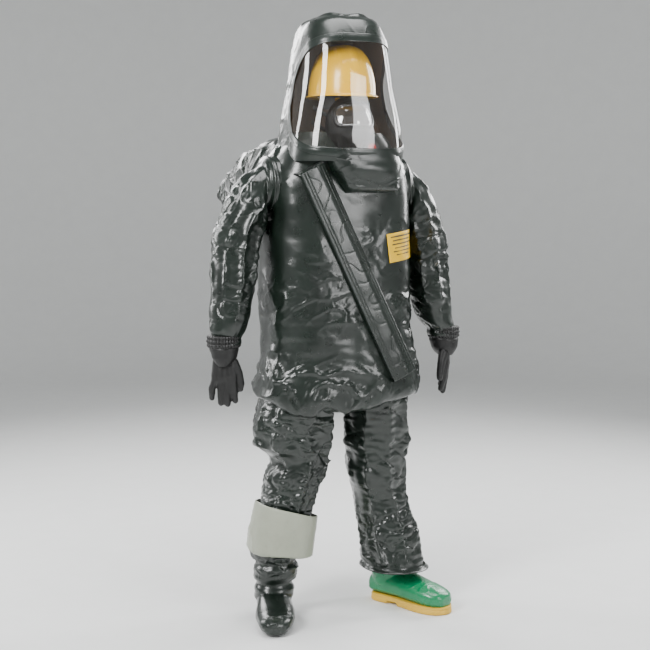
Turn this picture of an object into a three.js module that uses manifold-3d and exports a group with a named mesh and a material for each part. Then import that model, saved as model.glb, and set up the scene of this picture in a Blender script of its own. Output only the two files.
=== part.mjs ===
// A gas-tight chemical protective suit with its hood, visor, gloves and sock boots, and the helmet,
// face mask, air set and work boot that are worn with it. Millimetres, +Z up, front facing -Y.
// The wearer's right side is -X.
import * as THREE from "three";
import { mergeVertices } from "three/addons/utils/BufferGeometryUtils.js";
import Module from "manifold-3d";

const wasm = await Module();
wasm.setup();

// ---------------------------------------------------------------- driving dimensions
const GAP = 0.3; // between pieces that touch
const WALL = 4; // laminated fabric with its seams, as one wall
const FAR = 1500; // reach of a cutting body

const ANKLE_Z = 128;
const SHIN_LENGTH = 362; // ankle to knee crease
const THIGH_LENGTH = 230; // knee crease to hip crease
const TRUNK_LENGTH = 680; // hip crease to the middle of the armhole
const NECK_RISE = 100; // armhole middle to the foot of the hood
const HOOD_HEIGHT = 432;
const UPPER_ARM_LENGTH = 285; // armhole middle to elbow
const FOREARM_LENGTH = 220; // elbow to glove ring

const HIP_WIDTH = 504;
const CHEST_WIDTH = 448;
const TRUNK_DEPTH = 344;
const FRONT_Y = -165; // the flat of the front, where the closure lies
const HOOD_WIDTH = 380;
const HOOD_DEPTH = 356;
const HUMP_REACH = 435; // how far back the air-set hump stands at its corner
const ARMHOLE_RADIUS = 135;
const ARMHOLE_X = 229;
const ARMHOLE_BAND = 12;
const SHOULDER_DROP = 139; // how far the sleeve head stands out from the armhole
const ELBOW_X = 362;
const ELBOW_RADIUS = 80;
const WRIST_X = 388;
const WRIST_RADIUS = 50;
const THIGH_RADIUS = 119;
const KNEE_RADIUS = 106;
const LEG_HEM_RADIUS = 92;
const HIP_X = 128;
const KNEE_X = 158;
const FOOT_X = 212;

// How far each crease can fold, in degrees, and how far its axis lies from the limb's middle.
const HIP_FLEX = 65;
const HIP_EXTEND = 10;
const KNEE_FLEX = 80;
const ELBOW_FLEX = 75;
const ANKLE_FLEX = 10;
const WRIST_FLEX = 25;
const CREASE_RING = 6; // height of a gathered ring at its axis
const HIP_AXIS_Y = -95;
const KNEE_AXIS_Y = 45;
const ELBOW_AXIS_Y = -35;

const RIGHT_HEM_Z = 205; // the right leg ends where its guard is turned up
const CUFF_HEIGHT = 140; // the turned-up guard
const LEFT_HEM_Z = 124; // the left guard hangs over the boot
const GUARD_TOP_Z = 255;
const FOOT_LENGTH = 285;
const FOOT_WIDTH = 100;
const LEFT_FOOT_TURN = -25; // degrees, toes outwards
const RIGHT_FOOT_TURN = 20; // the same, seen from the other side
const BOOT_SOLE_THICKNESS = 26;
const BOOT_WALL = 4;

const VISOR_HEIGHT = 350;
const VISOR_SEAL = 20;

const CLOSURE_TOP = [-150, 50]; // x, and height above the armhole middle
const CLOSURE_FOOT = [170, 75]; // x, and height above the hip crease
const FLAP_WIDTH = 88;

const HELMET_WIDTH = 208;
const HELMET_LENGTH = 262;
const HELMET_HEIGHT = 170;
const HELMET_WALL = 3;
const MASK_WIDTH = 160;
const MASK_HEIGHT = 200;
const MASK_DEPTH = 85;
const CYLINDER_RADIUS = 68;
const CYLINDER_LENGTH = 460;

// ---------------------------------------------------------------- places worked out from them
const KNEE_Z = ANKLE_Z + SHIN_LENGTH;
const HIP_Z = KNEE_Z + THIGH_LENGTH;
const CROTCH_Z = HIP_Z - 70;
const SHOULDER_Z = HIP_Z + TRUNK_LENGTH;
const ARMPIT_Z = SHOULDER_Z - ARMHOLE_RADIUS;
const HOOD_FOOT_Z = SHOULDER_Z + NECK_RISE;
const HOOD_TOP_Z = HOOD_FOOT_Z + HOOD_HEIGHT;
const BIB_FOOT_Z = HOOD_FOOT_Z - 128;
const ELBOW_Z = SHOULDER_Z - UPPER_ARM_LENGTH;
const WRIST_Z = ELBOW_Z - FOREARM_LENGTH;
const ARMHOLE_Y = 10;
const HOOD_Y = -48;
const HEAD_Y = -56; // the axis on which the head turns
const HELMET_RIM_Z = HOOD_TOP_Z - 257;

// ---------------------------------------------------------------- materials
const paint = (colour, roughness, extra = {}) =>
  new THREE.MeshStandardMaterial({ color: colour, roughness, metalness: 0, ...extra });
const FABRIC = paint(0x24302a, 0.3);
const LINING = paint(0xb9bdb2, 0.8);
const CLEAR = paint(0xdfe6e4, 0.08, { transparent: true, opacity: 0.3 });
const SEAL = paint(0x56605b, 0.5);
const RUBBER = paint(0x161a18, 0.6);
const YELLOW = paint(0xe6ae22, 0.35);
const PATCH = paint(0xd9b430, 0.5);
const GREEN = paint(0x13885a, 0.5);
const SOLE = paint(0xc6a340, 0.6);
const PLASTIC = paint(0x20262a, 0.5);
const RED = paint(0xc0392b, 0.4);
const METAL = paint(0xb8bcbe, 0.35, { metalness: 0.9 });
const WEBBING = paint(0x2a2e30, 0.85);

// ---------------------------------------------------------------- solids
// A closed geometry as a solid that can be cut and joined.
function solidOf(geometry) {
  const bare = new THREE.BufferGeometry();
  bare.setAttribute("position", geometry.getAttribute("position"));
  if (geometry.index) bare.setIndex(geometry.index);
  const merged = mergeVertices(bare, 1e-3);
  const mesh = new wasm.Mesh({
    numProp: 3,
    vertProperties: merged.attributes.position.array,
    triVerts: new Uint32Array(merged.index.array),
  });
  return new wasm.Manifold(mesh);
}

// A solid back as a geometry.
function geometryOf(solid) {
  const mesh = solid.getMesh();
  const positions = new Float32Array(mesh.numVert * 3);
  for (let i = 0; i < mesh.numVert; i++) {
    const from = i * mesh.numProp;
    positions.set(mesh.vertProperties.subarray(from, from + 3), i * 3);
  }
  const geometry = new THREE.BufferGeometry();
  geometry.setAttribute("position", new THREE.BufferAttribute(positions, 3));
  geometry.setIndex(new THREE.BufferAttribute(mesh.triVerts, 1));
  geometry.computeVertexNormals();
  return geometry;
}

const join = (...solids) => solids.reduce((a, b) => a.add(b));

// The box between two corners.
function box(low, high) {
  const size = high.map((h, i) => h - low[i]);
  const geometry = new THREE.BoxGeometry(...size);
  geometry.translate(...low.map((l, i) => l + size[i] / 2));
  return solidOf(geometry);
}
const above = (z) => box([-FAR, -FAR, z], [FAR, FAR, 2 * FAR]);
const below = (z) => box([-FAR, -FAR, -FAR], [FAR, FAR, z]);
const ahead = (y) => box([-FAR, -FAR, -FAR], [FAR, y, 2 * FAR]);
const behind = (y) => box([-FAR, y, -FAR], [FAR, FAR, 2 * FAR]);

// All that is outward of |x| = inner on one side: -1 is the wearer's right, 1 the left.
function outward(side, inner, outer = FAR) {
  const ends = [side * inner, side * outer].sort((a, b) => a - b);
  return box([ends[0], -FAR, -FAR], [ends[1], FAR, 2 * FAR]);
}

// A body through sections [x, y, z, halfWidth, halfDepth, leanY, leanX], from its low end to its
// high end. It can be made thinner all round by inset, and longer at either end.
function tube(sections, options = {}) {
  const { inset = 0, pastLow = 0, pastHigh = 0, square = 2.3, around = 14, steps = 4 } = options;
  const places = sections.map((_, i) => i);
  const values = sections.flatMap((s) => [...s, 0, 0].slice(0, 7));
  const sampler = new THREE.CubicInterpolant(places, values, 7);
  const geometry = new THREE.CylinderGeometry(1, 1, 1, around, steps);
  const position = geometry.getAttribute("position");
  const power = 2 / square;
  const end = sections.length - 1;
  const point = new THREE.Vector3();
  const turn = new THREE.Euler();
  for (let i = 0; i < position.count; i++) {
    const t = THREE.MathUtils.clamp((position.getY(i) + 0.5) * end, 0, end - 1e-9);
    const [x, y, z, wide, deep, leanY, leanX] = sampler.evaluate(t);
    const across = position.getX(i);
    const along = -position.getZ(i);
    const past = t < 1e-6 ? -pastLow : t > end - 1e-6 ? pastHigh : 0;
    point.set(
      (wide - inset) * Math.sign(across) * Math.abs(across) ** power,
      (deep - inset) * Math.sign(along) * Math.abs(along) ** power,
      past,
    );
    turn.set(THREE.MathUtils.degToRad(leanX), THREE.MathUtils.degToRad(leanY), 0);
    point.applyEuler(turn);
    position.setXYZ(i, x + point.x, y + point.y, z + point.z);
  }
  return solidOf(geometry);
}

// The same body hollowed to a wall, open at either end or closed there.
function hollow(sections, wall, options = {}) {
  const { openLow = true, openHigh = true } = options;
  const inner = { ...options, inset: wall, pastLow: openLow ? 1 : -wall, pastHigh: openHigh ? 1 : -wall };
  return tube(sections, options).subtract(tube(sections, inner));
}

// An ellipsoid with its middle at centre.
function ellipsoid(centre, radii, around = 24, rings = 12) {
  const geometry = new THREE.SphereGeometry(1, around, rings);
  geometry.rotateX(Math.PI / 2);
  geometry.scale(...radii);
  geometry.translate(...centre);
  return solidOf(geometry);
}

// A round bar from one point along an axis: "x", "y" or "z".
function bar(axis, from, length, radius, around = 16) {
  const geometry = new THREE.CylinderGeometry(radius, radius, length, around);
  geometry.translate(0, length / 2, 0);
  if (axis === "x") geometry.rotateZ(-Math.PI / 2);
  if (axis === "z") geometry.rotateX(Math.PI / 2);
  geometry.translate(...from);
  return solidOf(geometry);
}

const X = new THREE.Vector3(1, 0, 0);
const Y = new THREE.Vector3(0, 1, 0);
const Z = new THREE.Vector3(0, 0, 1);
const outline = (points) => new THREE.Shape(points.map((p) => new THREE.Vector2(...p)));

// An outline of [x, z] points filled between two places along y.
function frontal(points, fromY, toY) {
  const shape = points instanceof THREE.Shape ? points : outline(points);
  const geometry = new THREE.ExtrudeGeometry(shape, {
    depth: toY - fromY, bevelEnabled: false, curveSegments: 3,
  });
  geometry.applyMatrix4(new THREE.Matrix4().makeBasis(X, Z, Y.clone().negate()));
  geometry.translate(0, toY, 0);
  return solidOf(geometry);
}

// An outline of [y, z] points filled between two places along x, with its edges rounded by round.
function sideways(points, fromX, toX, round = 0) {
  const shape = points instanceof THREE.Shape ? points : outline(points);
  const geometry = new THREE.ExtrudeGeometry(shape, {
    depth: toX - fromX - 2 * round,
    bevelEnabled: round > 0, bevelThickness: round, bevelSize: round, bevelOffset: -round,
    bevelSegments: 2, curveSegments: 3,
  });
  geometry.applyMatrix4(new THREE.Matrix4().makeBasis(Y, Z, X));
  geometry.translate(fromX + round, 0, 0);
  return solidOf(geometry);
}

// A rectangle with rounded corners.
function rounded(left, right, low, high, radius) {
  const shape = new THREE.Shape();
  shape.moveTo(left + radius, low);
  shape.lineTo(right - radius, low).absarc(right - radius, low + radius, radius, -Math.PI / 2, 0);
  shape.lineTo(right, high - radius).absarc(right - radius, high - radius, radius, 0, Math.PI / 2);
  shape.lineTo(left + radius, high).absarc(left + radius, high - radius, radius, Math.PI / 2, Math.PI);
  shape.lineTo(left, low + radius).absarc(left + radius, low + radius, radius, Math.PI, 1.5 * Math.PI);
  return shape;
}

// The space above (up = 1) or below (up = -1) a crease whose axis runs along x. Its face leaves
// the axis at one angle towards the front and at another towards the back.
function creaseSide(up, axisY, axisZ, offset, frontAngle, backAngle) {
  const rise = (degrees) => up * (offset + FAR * Math.tan(THREE.MathUtils.degToRad(degrees)));
  const points = [
    [axisY, axisZ + up * offset],
    [axisY - FAR, axisZ + rise(frontAngle)],
    [axisY - FAR, axisZ + up * 3 * FAR],
    [axisY + FAR, axisZ + up * 3 * FAR],
    [axisY + FAR, axisZ + rise(backAngle)],
  ];
  return sideways(points, -FAR, FAR);
}

// Cuts a limb's shell at a crease into what is above it, the gathered ring, and what is below.
// angles = [front above, back above, front below, back below].
function cutAtCrease(shell, axisY, axisZ, angles) {
  const half = CREASE_RING / 2;
  const upper = creaseSide(1, axisY, axisZ, half, angles[0], angles[1]);
  const lower = creaseSide(-1, axisY, axisZ, half, angles[2], angles[3]);
  const upperGrown = upper.translate([0, 0, -GAP]);
  const lowerGrown = lower.translate([0, 0, GAP]);
  return {
    above: shell.intersect(upper),
    ring: shell.subtract(upperGrown).subtract(lowerGrown),
    below: shell.intersect(lower),
  };
}

// ---------------------------------------------------------------- the object and its pieces
const suit = new THREE.Group();
suit.name = "chemical_protective_suit";
function add(name, solid, material) {
  const mesh = new THREE.Mesh(geometryOf(solid), material.clone());
  mesh.name = name;
  suit.add(mesh);
}
const SIDES = [[-1, "right"], [1, "left"]];

// ---------------------------------------------------------------- trunk
const HIPS = HIP_WIDTH / 2;
const CHEST = CHEST_WIDTH / 2;
const BACK_Y = FRONT_Y + TRUNK_DEPTH;
const SPLIT_Y = 0; // side seam between front and back
const TRUNK_TOP = HOOD_FOOT_Z + 90;
const trunkSections = [
  [0, 0, HIP_Z + GAP, HIPS - 6, 146],
  [0, 6, HIP_Z + 0.18 * TRUNK_LENGTH, HIPS, 205],
  [0, 7, HIP_Z + 0.5 * TRUNK_LENGTH, HIPS - 10, 212],
  [0, 7, ARMPIT_Z, CHEST + 12, 214],
  [0, 7, SHOULDER_Z + 60, CHEST + 14, 200],
  [0, 7, TRUNK_TOP, CHEST - 30, 165],
];
const trunkStyle = { square: 3.2, around: 20, steps: 6 };
const trunkLimits = (inset) => box(
  [-ARMHOLE_X + inset, FRONT_Y + inset, 0],
  [ARMHOLE_X - inset, BACK_Y - inset, 3000],
);
const waistLimits = (inset) => box(
  [-FAR, FRONT_Y + inset, 0],
  [FAR, BACK_Y - inset, ARMPIT_Z - 40],
);
const within = (solid, inset) => join(
  solid.intersect(trunkLimits(inset)), solid.intersect(waistLimits(inset)),
);
const trunkOuter = within(tube(trunkSections, trunkStyle), 0);
const trunkInner = within(
  tube(trunkSections, { ...trunkStyle, inset: WALL, pastLow: 1, pastHigh: -WALL }), WALL,
);
const hoodSections = [
  [0, HOOD_Y, HOOD_FOOT_Z - 18, HOOD_WIDTH / 2, HOOD_DEPTH / 2],
  [0, HOOD_Y + 2, HOOD_FOOT_Z + 0.3 * HOOD_HEIGHT, HOOD_WIDTH / 2, HOOD_DEPTH / 2 - 4],
  [0, HOOD_Y + 8, HOOD_FOOT_Z + 0.72 * HOOD_HEIGHT, HOOD_WIDTH / 2 - 16, HOOD_DEPTH / 2 - 16],
  [0, HOOD_Y + 18, HOOD_TOP_Z - 22, HOOD_WIDTH / 2 - 28, HOOD_DEPTH / 2 - 34],
  [0, HOOD_Y + 22, HOOD_TOP_Z, HOOD_WIDTH / 2 - 40, HOOD_DEPTH / 2 - 46],
];
const hoodStyle = { square: 3, around: 20, steps: 5 };
const hoodPlace = tube(hoodSections, { ...hoodStyle, inset: -GAP, pastLow: GAP });
const armholes = bar("x", [-FAR, ARMHOLE_Y, SHOULDER_Z], 2 * FAR, ARMHOLE_RADIUS - WALL, 24);
const trunk = trunkOuter.subtract(trunkInner).subtract(hoodPlace).subtract(armholes);

// The bib closes the step between the chest and the hood, and opens into both.
const BIB_FRONT_Y = HOOD_Y - HOOD_DEPTH / 2 + 2;
const BIB_TOP_Z = HOOD_FOOT_Z - 18 - GAP;
const bibOutline = (inset) => [
  [-38 + inset, BIB_FOOT_Z + inset],
  [120 - inset / 2, BIB_FOOT_Z + inset],
  [146 - inset, BIB_FOOT_Z + 26],
  [146 - inset, BIB_TOP_Z],
  [-95 + inset, BIB_TOP_Z],
];
const bibOpening = frontal(bibOutline(22), FRONT_Y - 20, FRONT_Y + 20);
const bib = frontal(bibOutline(0), BIB_FRONT_Y, FRONT_Y - GAP)
  .subtract(frontal(bibOutline(WALL), BIB_FRONT_Y + WALL, FRONT_Y + 1))
  .subtract(above(BIB_TOP_Z - WALL).intersect(frontal(bibOutline(WALL), BIB_FRONT_Y + WALL, 0)));
add("visor_bib", bib, FABRIC);

// The closure runs slantwise down the flat of the front, and a seam carries on below it.
const closureTop = new THREE.Vector2(CLOSURE_TOP[0], SHOULDER_Z + CLOSURE_TOP[1]);
const closureFoot = new THREE.Vector2(CLOSURE_FOOT[0], HIP_Z + CLOSURE_FOOT[1]);
const closureRun = closureTop.clone().sub(closureFoot);
const closureLength = closureRun.length();
const closureTilt = THREE.MathUtils.radToDeg(Math.atan2(closureRun.x, closureRun.y));
// A slab along the closure: between two distances across it, and two along it from its foot.
function alongClosure(acrossLow, acrossHigh, alongLow, alongHigh, fromY, toY) {
  return box([acrossLow, fromY, alongLow], [acrossHigh, toY, alongHigh])
    .rotate([0, closureTilt, 0])
    .translate([closureFoot.x, 0, closureFoot.y]);
}
const TAPE_WIDTH = 30;
const seamX = (z) => closureFoot.x + (closureRun.x / closureRun.y) * (z - closureFoot.y);
const seamBend = closureTop.y;
const rightOfSeam = (shift) => frontal([
  [-FAR, 0], [seamX(0) + shift, 0], [seamX(seamBend) + shift, seamBend],
  [seamX(seamBend) + shift, 3 * FAR], [-FAR, 3 * FAR],
], -FAR, FAR);
const tapeSlot = alongClosure(
  -TAPE_WIDTH / 2 - GAP, TAPE_WIDTH / 2 + GAP, -GAP, closureLength + GAP, -FAR, SPLIT_Y,
);
const front = trunk.intersect(ahead(SPLIT_Y - GAP / 2)).subtract(bibOpening).subtract(tapeSlot);
add("front_panel_right", front.intersect(rightOfSeam(-GAP / 2)), FABRIC);
add("front_panel_left", front.subtract(rightOfSeam(GAP / 2)), FABRIC);
const tape = alongClosure(-TAPE_WIDTH / 2, TAPE_WIDTH / 2, 0, closureLength, FRONT_Y - 1, FRONT_Y + 3);
const teeth = alongClosure(-3, 3, 12, closureLength - 12, FRONT_Y - 3, FRONT_Y + 1);
add("zipper_tape", join(tape, teeth), RUBBER);
const sliderBody = alongClosure(-9, 9, 14, 40, FRONT_Y - 9, FRONT_Y - 1 - GAP)
  .subtract(alongClosure(-3 - GAP, 3 + GAP, 0, 60, FRONT_Y - 3 - GAP, FRONT_Y));
const sliderPull = alongClosure(-4, 4, 30, 62, FRONT_Y - 11, FRONT_Y - 9 + 0.5);
add("zipper_slider", join(sliderBody, sliderPull), METAL);

// The storm flap is sewn along its upper edge to a raised hem and folds back over it.
const HEM_FRONT = FRONT_Y - 13;
const FLAP_THICK = 4;
const hem = alongClosure(
  -FLAP_WIDTH / 2, -FLAP_WIDTH / 2 + 20, 6, closureLength - 6, HEM_FRONT, FRONT_Y - GAP,
);
add("flap_hem", hem, FABRIC);
const flap = alongClosure(
  -FLAP_WIDTH / 2, FLAP_WIDTH / 2, -10, closureLength, HEM_FRONT - GAP - FLAP_THICK, HEM_FRONT - GAP,
);
add("storm_flap", flap, FABRIC);

const LABEL_LOW = [166, SHOULDER_Z - 235];
const label = frontal(
  rounded(LABEL_LOW[0] - 62, LABEL_LOW[0] + 43, LABEL_LOW[1], LABEL_LOW[1] + 88, 4),
  FRONT_Y - GAP - 1.5, FRONT_Y - GAP,
);
add("chest_label", label, PATCH);

// Back panel, with a window into the hump.
const WINDOW_HALF = CHEST - 36;
const HUMP_FOOT_Z = SHOULDER_Z - 390;
const windowCut = box([-WINDOW_HALF, 100, HUMP_FOOT_Z + 60], [WINDOW_HALF, FAR, SHOULDER_Z + 110]);
const VALVE_AT = [-120, HUMP_FOOT_Z - 75];
const backHole = bar("y", [VALVE_AT[0], 0, VALVE_AT[1]], FAR, 24);
const back = trunk.intersect(behind(SPLIT_Y + GAP / 2)).subtract(windowCut).subtract(backHole);
add("back_panel", back, FABRIC);

const humpProfile = (inset) => {
  const reach = HUMP_REACH - inset;
  const rise = HUMP_REACH - BACK_Y;
  return [
    [BACK_Y - 60, HUMP_FOOT_Z + 1.3 * inset],
    [BACK_Y + 0.15 * rise, HUMP_FOOT_Z + 1.3 * inset],
    [BACK_Y + 0.5 * rise - inset / 2, HUMP_FOOT_Z + 60 + inset],
    [reach - 25, SHOULDER_Z - 140],
    [reach, SHOULDER_Z - 30],
    [reach - 20, SHOULDER_Z + 60 - inset / 2],
    [BACK_Y + 0.5 * rise - inset / 2, SHOULDER_Z + 150 - inset],
    [BACK_Y - 60, SHOULDER_Z + 176 - inset],
  ];
};
const HUMP_HALF = ARMHOLE_X - 6;
const hump = sideways(humpProfile(0), -HUMP_HALF, HUMP_HALF, 24)
  .subtract(sideways(humpProfile(WALL), -HUMP_HALF + WALL, HUMP_HALF - WALL, 22))
  .intersect(behind(BACK_Y + GAP));
add("pack_hump", hump, FABRIC);

// Exhaust valve: a housing through the back panel, with a disc that lifts off its seat.
const housing = join(
  bar("y", [VALVE_AT[0], BACK_Y - 12, VALVE_AT[1]], 30, 24 - GAP),
  bar("y", [VALVE_AT[0], BACK_Y + GAP, VALVE_AT[1]], 6, 34),
).subtract(bar("y", [VALVE_AT[0], BACK_Y - 40, VALVE_AT[1]], 46, 12))
  .subtract(bar("y", [VALVE_AT[0], BACK_Y + 4, VALVE_AT[1]], 40, 20));
add("exhaust_housing", housing, RUBBER);
add("exhaust_disc", bar("y", [VALVE_AT[0], BACK_Y + 4 + GAP, VALVE_AT[1]], 3, 17), RED);

// ---------------------------------------------------------------- hood and visor
const hoodShell = hollow(hoodSections, WALL, { ...hoodStyle, openHigh: false });
const VISOR_FOOT_Z = HOOD_FOOT_Z - 10;
const VISOR_BACK_Y = HOOD_Y - 57;
const visorOutline = (inset) => rounded(
  -600, VISOR_BACK_Y - inset, VISOR_FOOT_Z + inset, VISOR_FOOT_Z + VISOR_HEIGHT - inset, 50 - inset,
);
const visorPlace = (inset) => sideways(visorOutline(inset), -FAR, FAR);
add("hood", hoodShell.subtract(visorPlace(0)), FABRIC);
add("visor_seal", hoodShell.intersect(visorPlace(GAP)).subtract(visorPlace(VISOR_SEAL)), SEAL);
add("visor", hoodShell.intersect(visorPlace(VISOR_SEAL + GAP)), CLEAR);

// ---------------------------------------------------------------- sleeves and gloves
const BAND_OUT = ARMHOLE_X + GAP + ARMHOLE_BAND;
const SLEEVE_IN = BAND_OUT + GAP;
for (const [side, name] of SIDES) {
  const at = (x) => side * x;
  const band = bar("x", [side > 0 ? ARMHOLE_X + GAP : -BAND_OUT, ARMHOLE_Y, SHOULDER_Z],
    ARMHOLE_BAND, ARMHOLE_RADIUS, 24);
  const bandHole = bar("x", [-FAR, ARMHOLE_Y, SHOULDER_Z], 2 * FAR, ARMHOLE_RADIUS - WALL, 24);
  add(`armhole_band_${name}`, band.subtract(bandHole), FABRIC);

  const outer = SLEEVE_IN + SHOULDER_DROP;
  const sections = [
    [at(WRIST_X), -24, WRIST_Z - 20, WRIST_RADIUS, WRIST_RADIUS],
    [at(WRIST_X - 6), -20, WRIST_Z + 70, 68, 68],
    [at(ELBOW_X), -6, ELBOW_Z, ELBOW_RADIUS, ELBOW_RADIUS],
    [at(ELBOW_X - 14), 3, ELBOW_Z + 90, ELBOW_RADIUS + 3, 90, at(-8)],
    [at(outer - 57), 7, SHOULDER_Z - 106, 85, 108, at(-36)],
    [at(SLEEVE_IN + 66), ARMHOLE_Y, SHOULDER_Z - 33, 118, 126, at(-62)],
    [at(SLEEVE_IN), ARMHOLE_Y, SHOULDER_Z, ARMHOLE_RADIUS, ARMHOLE_RADIUS, at(-90)],
  ];
  const sleeve = hollow(sections, WALL, { square: 2, around: 16, steps: 8 });
  const half = ELBOW_FLEX / 2;
  const elbow = cutAtCrease(sleeve, ELBOW_AXIS_Y, ELBOW_Z, [half, 0, half, 0]);
  add(`upper_sleeve_${name}`, elbow.above.intersect(outward(side, SLEEVE_IN)), FABRIC);
  add(`elbow_gusset_${name}`, elbow.ring, FABRIC);
  const bend = WRIST_FLEX / 2;
  const wrist = cutAtCrease(elbow.below, -24, WRIST_Z, [bend, bend, bend, bend]);
  add(`lower_sleeve_${name}`, wrist.above, FABRIC);
  add(`wrist_cuff_${name}`, wrist.ring, RUBBER);

  // The glove: a hollow gauntlet and palm, with the fingers and thumb hanging half closed.
  const palm = [
    [at(WRIST_X + 2), -44, WRIST_Z - 105, 24, 44],
    [at(WRIST_X + 2), -40, WRIST_Z - 78, 25, 45],
    [at(WRIST_X), -30, WRIST_Z - 45, 36, 42],
    [at(WRIST_X), -25, WRIST_Z - 22, 46, 46],
    [at(WRIST_X), -24, WRIST_Z - 2, WRIST_RADIUS, WRIST_RADIUS],
  ];
  const palmStyle = { square: 2.4, around: 10, steps: 4 };
  const lower = creaseSide(-1, -24, WRIST_Z, CREASE_RING / 2, bend, bend);
  const palmShell = tube(palm, palmStyle).subtract(join(
    tube(palm, { ...palmStyle, inset: 3, pastHigh: 1, pastLow: -6 }), above(WRIST_Z - 2.5),
  ));
  const fingers = [];
  for (let finger = 0; finger < 4; finger++) {
    const y = -78 + finger * 22;
    const drop = [70, 82, 76, 58][finger];
    fingers.push(tube([
      [at(WRIST_X - 14), y + 2, WRIST_Z - 98 - drop, 8, 8, 0, -14],
      [at(WRIST_X - 2), y, WRIST_Z - 98 - 0.5 * drop, 10.5, 10.5],
      [at(WRIST_X + 2), y + 0.5, WRIST_Z - 98, 11.5, 11.5],
    ], { square: 2, around: 6, steps: 2 }));
  }
  fingers.push(tube([
    [at(WRIST_X - 24), -112, WRIST_Z - 128, 8, 8, 0, 0],
    [at(WRIST_X - 20), -103, WRIST_Z - 98, 11, 11, 0, 22],
    [at(WRIST_X - 10), -70, WRIST_Z - 58, 15, 15, 0, 38],
  ], { square: 2, around: 6, steps: 2 }));
  const cavity = tube(palm, { ...palmStyle, inset: 3, pastHigh: 1, pastLow: -6 });
  const digits = join(...fingers).subtract(cavity);
  add(`glove_${name}`, join(palmShell, digits).intersect(lower), RUBBER);
}

// ---------------------------------------------------------------- legs, socks and guards
const ANKLE_Y = 10;
const FOOT_STYLE = { around: 12, steps: 4, square: 2.6 };
// Sections of a foot from heel to toe, raised by lift and made fuller all round by grow.
const footSections = (lift, grow) => [
  [0, 52 + grow, 36, 36, 26], [0, 10, 42, 44, 34], [0, -70, 40, 47, 34],
  [0, -150, 33, 48, 27], [0, -FOOT_LENGTH + 62 - grow, 28, 38, 20],
].map(([x, y, z, wide, tall]) => [x, y, z + lift, wide + grow, tall + grow, 0, 90]);
const legSections = (side) => {
  const hemZ = side < 0 ? RIGHT_HEM_Z + 3 + GAP : GUARD_TOP_Z;
  return [
    [side * (FOOT_X - 6), -4, hemZ, LEG_HEM_RADIUS, LEG_HEM_RADIUS],
    [side * (0.4 * KNEE_X + 0.6 * FOOT_X), 0, 0.6 * hemZ + 0.4 * KNEE_Z, 97, 99],
    [side * KNEE_X, 0, KNEE_Z, KNEE_RADIUS, KNEE_RADIUS],
    [side * (0.5 * KNEE_X + 0.5 * HIP_X), 0, 0.5 * (KNEE_Z + HIP_Z), THIGH_RADIUS - 7, 120],
    [side * HIP_X, 0, HIP_Z, THIGH_RADIUS - 1, 145],
  ];
};
const LEG_STYLE = { square: 2.4, around: 16, steps: 6 };
const legPlace = (side) => tube(legSections(side), { ...LEG_STYLE, inset: -GAP, pastLow: GAP, pastHigh: GAP });
const placeFoot = (solid, side, turn) =>
  solid.rotate([0, 0, turn]).translate([side * FOOT_X, 0, 0]);
for (const [side, name] of SIDES) {
  const hemZ = side < 0 ? RIGHT_HEM_Z + 3 + GAP : GUARD_TOP_Z;
  const leg = hollow(legSections(side), WALL, LEG_STYLE);
  const hip = cutAtCrease(leg, HIP_AXIS_Y, HIP_Z,
    [0, 0, HIP_FLEX, HIP_EXTEND]);
  add(`hip_gusset_${name}`, hip.ring, FABRIC);
  const half = KNEE_FLEX / 2;
  const knee = cutAtCrease(hip.below, KNEE_AXIS_Y, KNEE_Z, [0, half, 0, half]);
  add(`thigh_${name}`, knee.above, FABRIC);
  add(`knee_gusset_${name}`, knee.ring, FABRIC);
  add(`shin_${name}`, knee.below, FABRIC);

  // The sock boot hangs inside the hem from a flange, and bends at its own gathered ring.
  const turn = side > 0 ? -LEFT_FOOT_TURN : -RIGHT_FOOT_TURN;
  const lift = side > 0 ? BOOT_SOLE_THICKNESS - 2 : -7;
  const neck = [
    [0, 6, ANKLE_Z - 63, 46, 52], [0, 4, ANKLE_Z, 48, 54], [0, 2, hemZ - 3, 54, 56],
  ];
  const foot = footSections(lift, 0);
  const sock = join(tube(neck, { steps: 2 }), tube(foot, FOOT_STYLE)).subtract(join(
    tube(neck, { steps: 2, inset: 3, pastHigh: 5 }),
    tube(foot, { ...FOOT_STYLE, inset: 3, pastLow: -4, pastHigh: -4 }),
  ));
  const bend = ANKLE_FLEX / 2;
  const ankle = cutAtCrease(sock, ANKLE_Y, ANKLE_Z, [bend, bend, bend, bend]);
  const flange = bar("z", [side * (FOOT_X - 6), -4, hemZ - 6 - GAP], 6, LEG_HEM_RADIUS - 2, 24)
    .subtract(bar("z", [side * FOOT_X, 2, hemZ - 40], 60, 50, 24));
  const carried = join(placeFoot(ankle.above, side, turn), flange);
  const wallPlace = legPlace(side).subtract(tube(legSections(side),
    { ...LEG_STYLE, inset: WALL + GAP, pastLow: 5 }));
  add(`sock_leg_${name}`, carried.subtract(wallPlace), FABRIC);
  add(`sock_gusset_${name}`, placeFoot(ankle.ring, side, turn), FABRIC);
  add(`sock_foot_${name}`, placeFoot(ankle.below, side, turn).intersect(above(0)), FABRIC);
}

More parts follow.
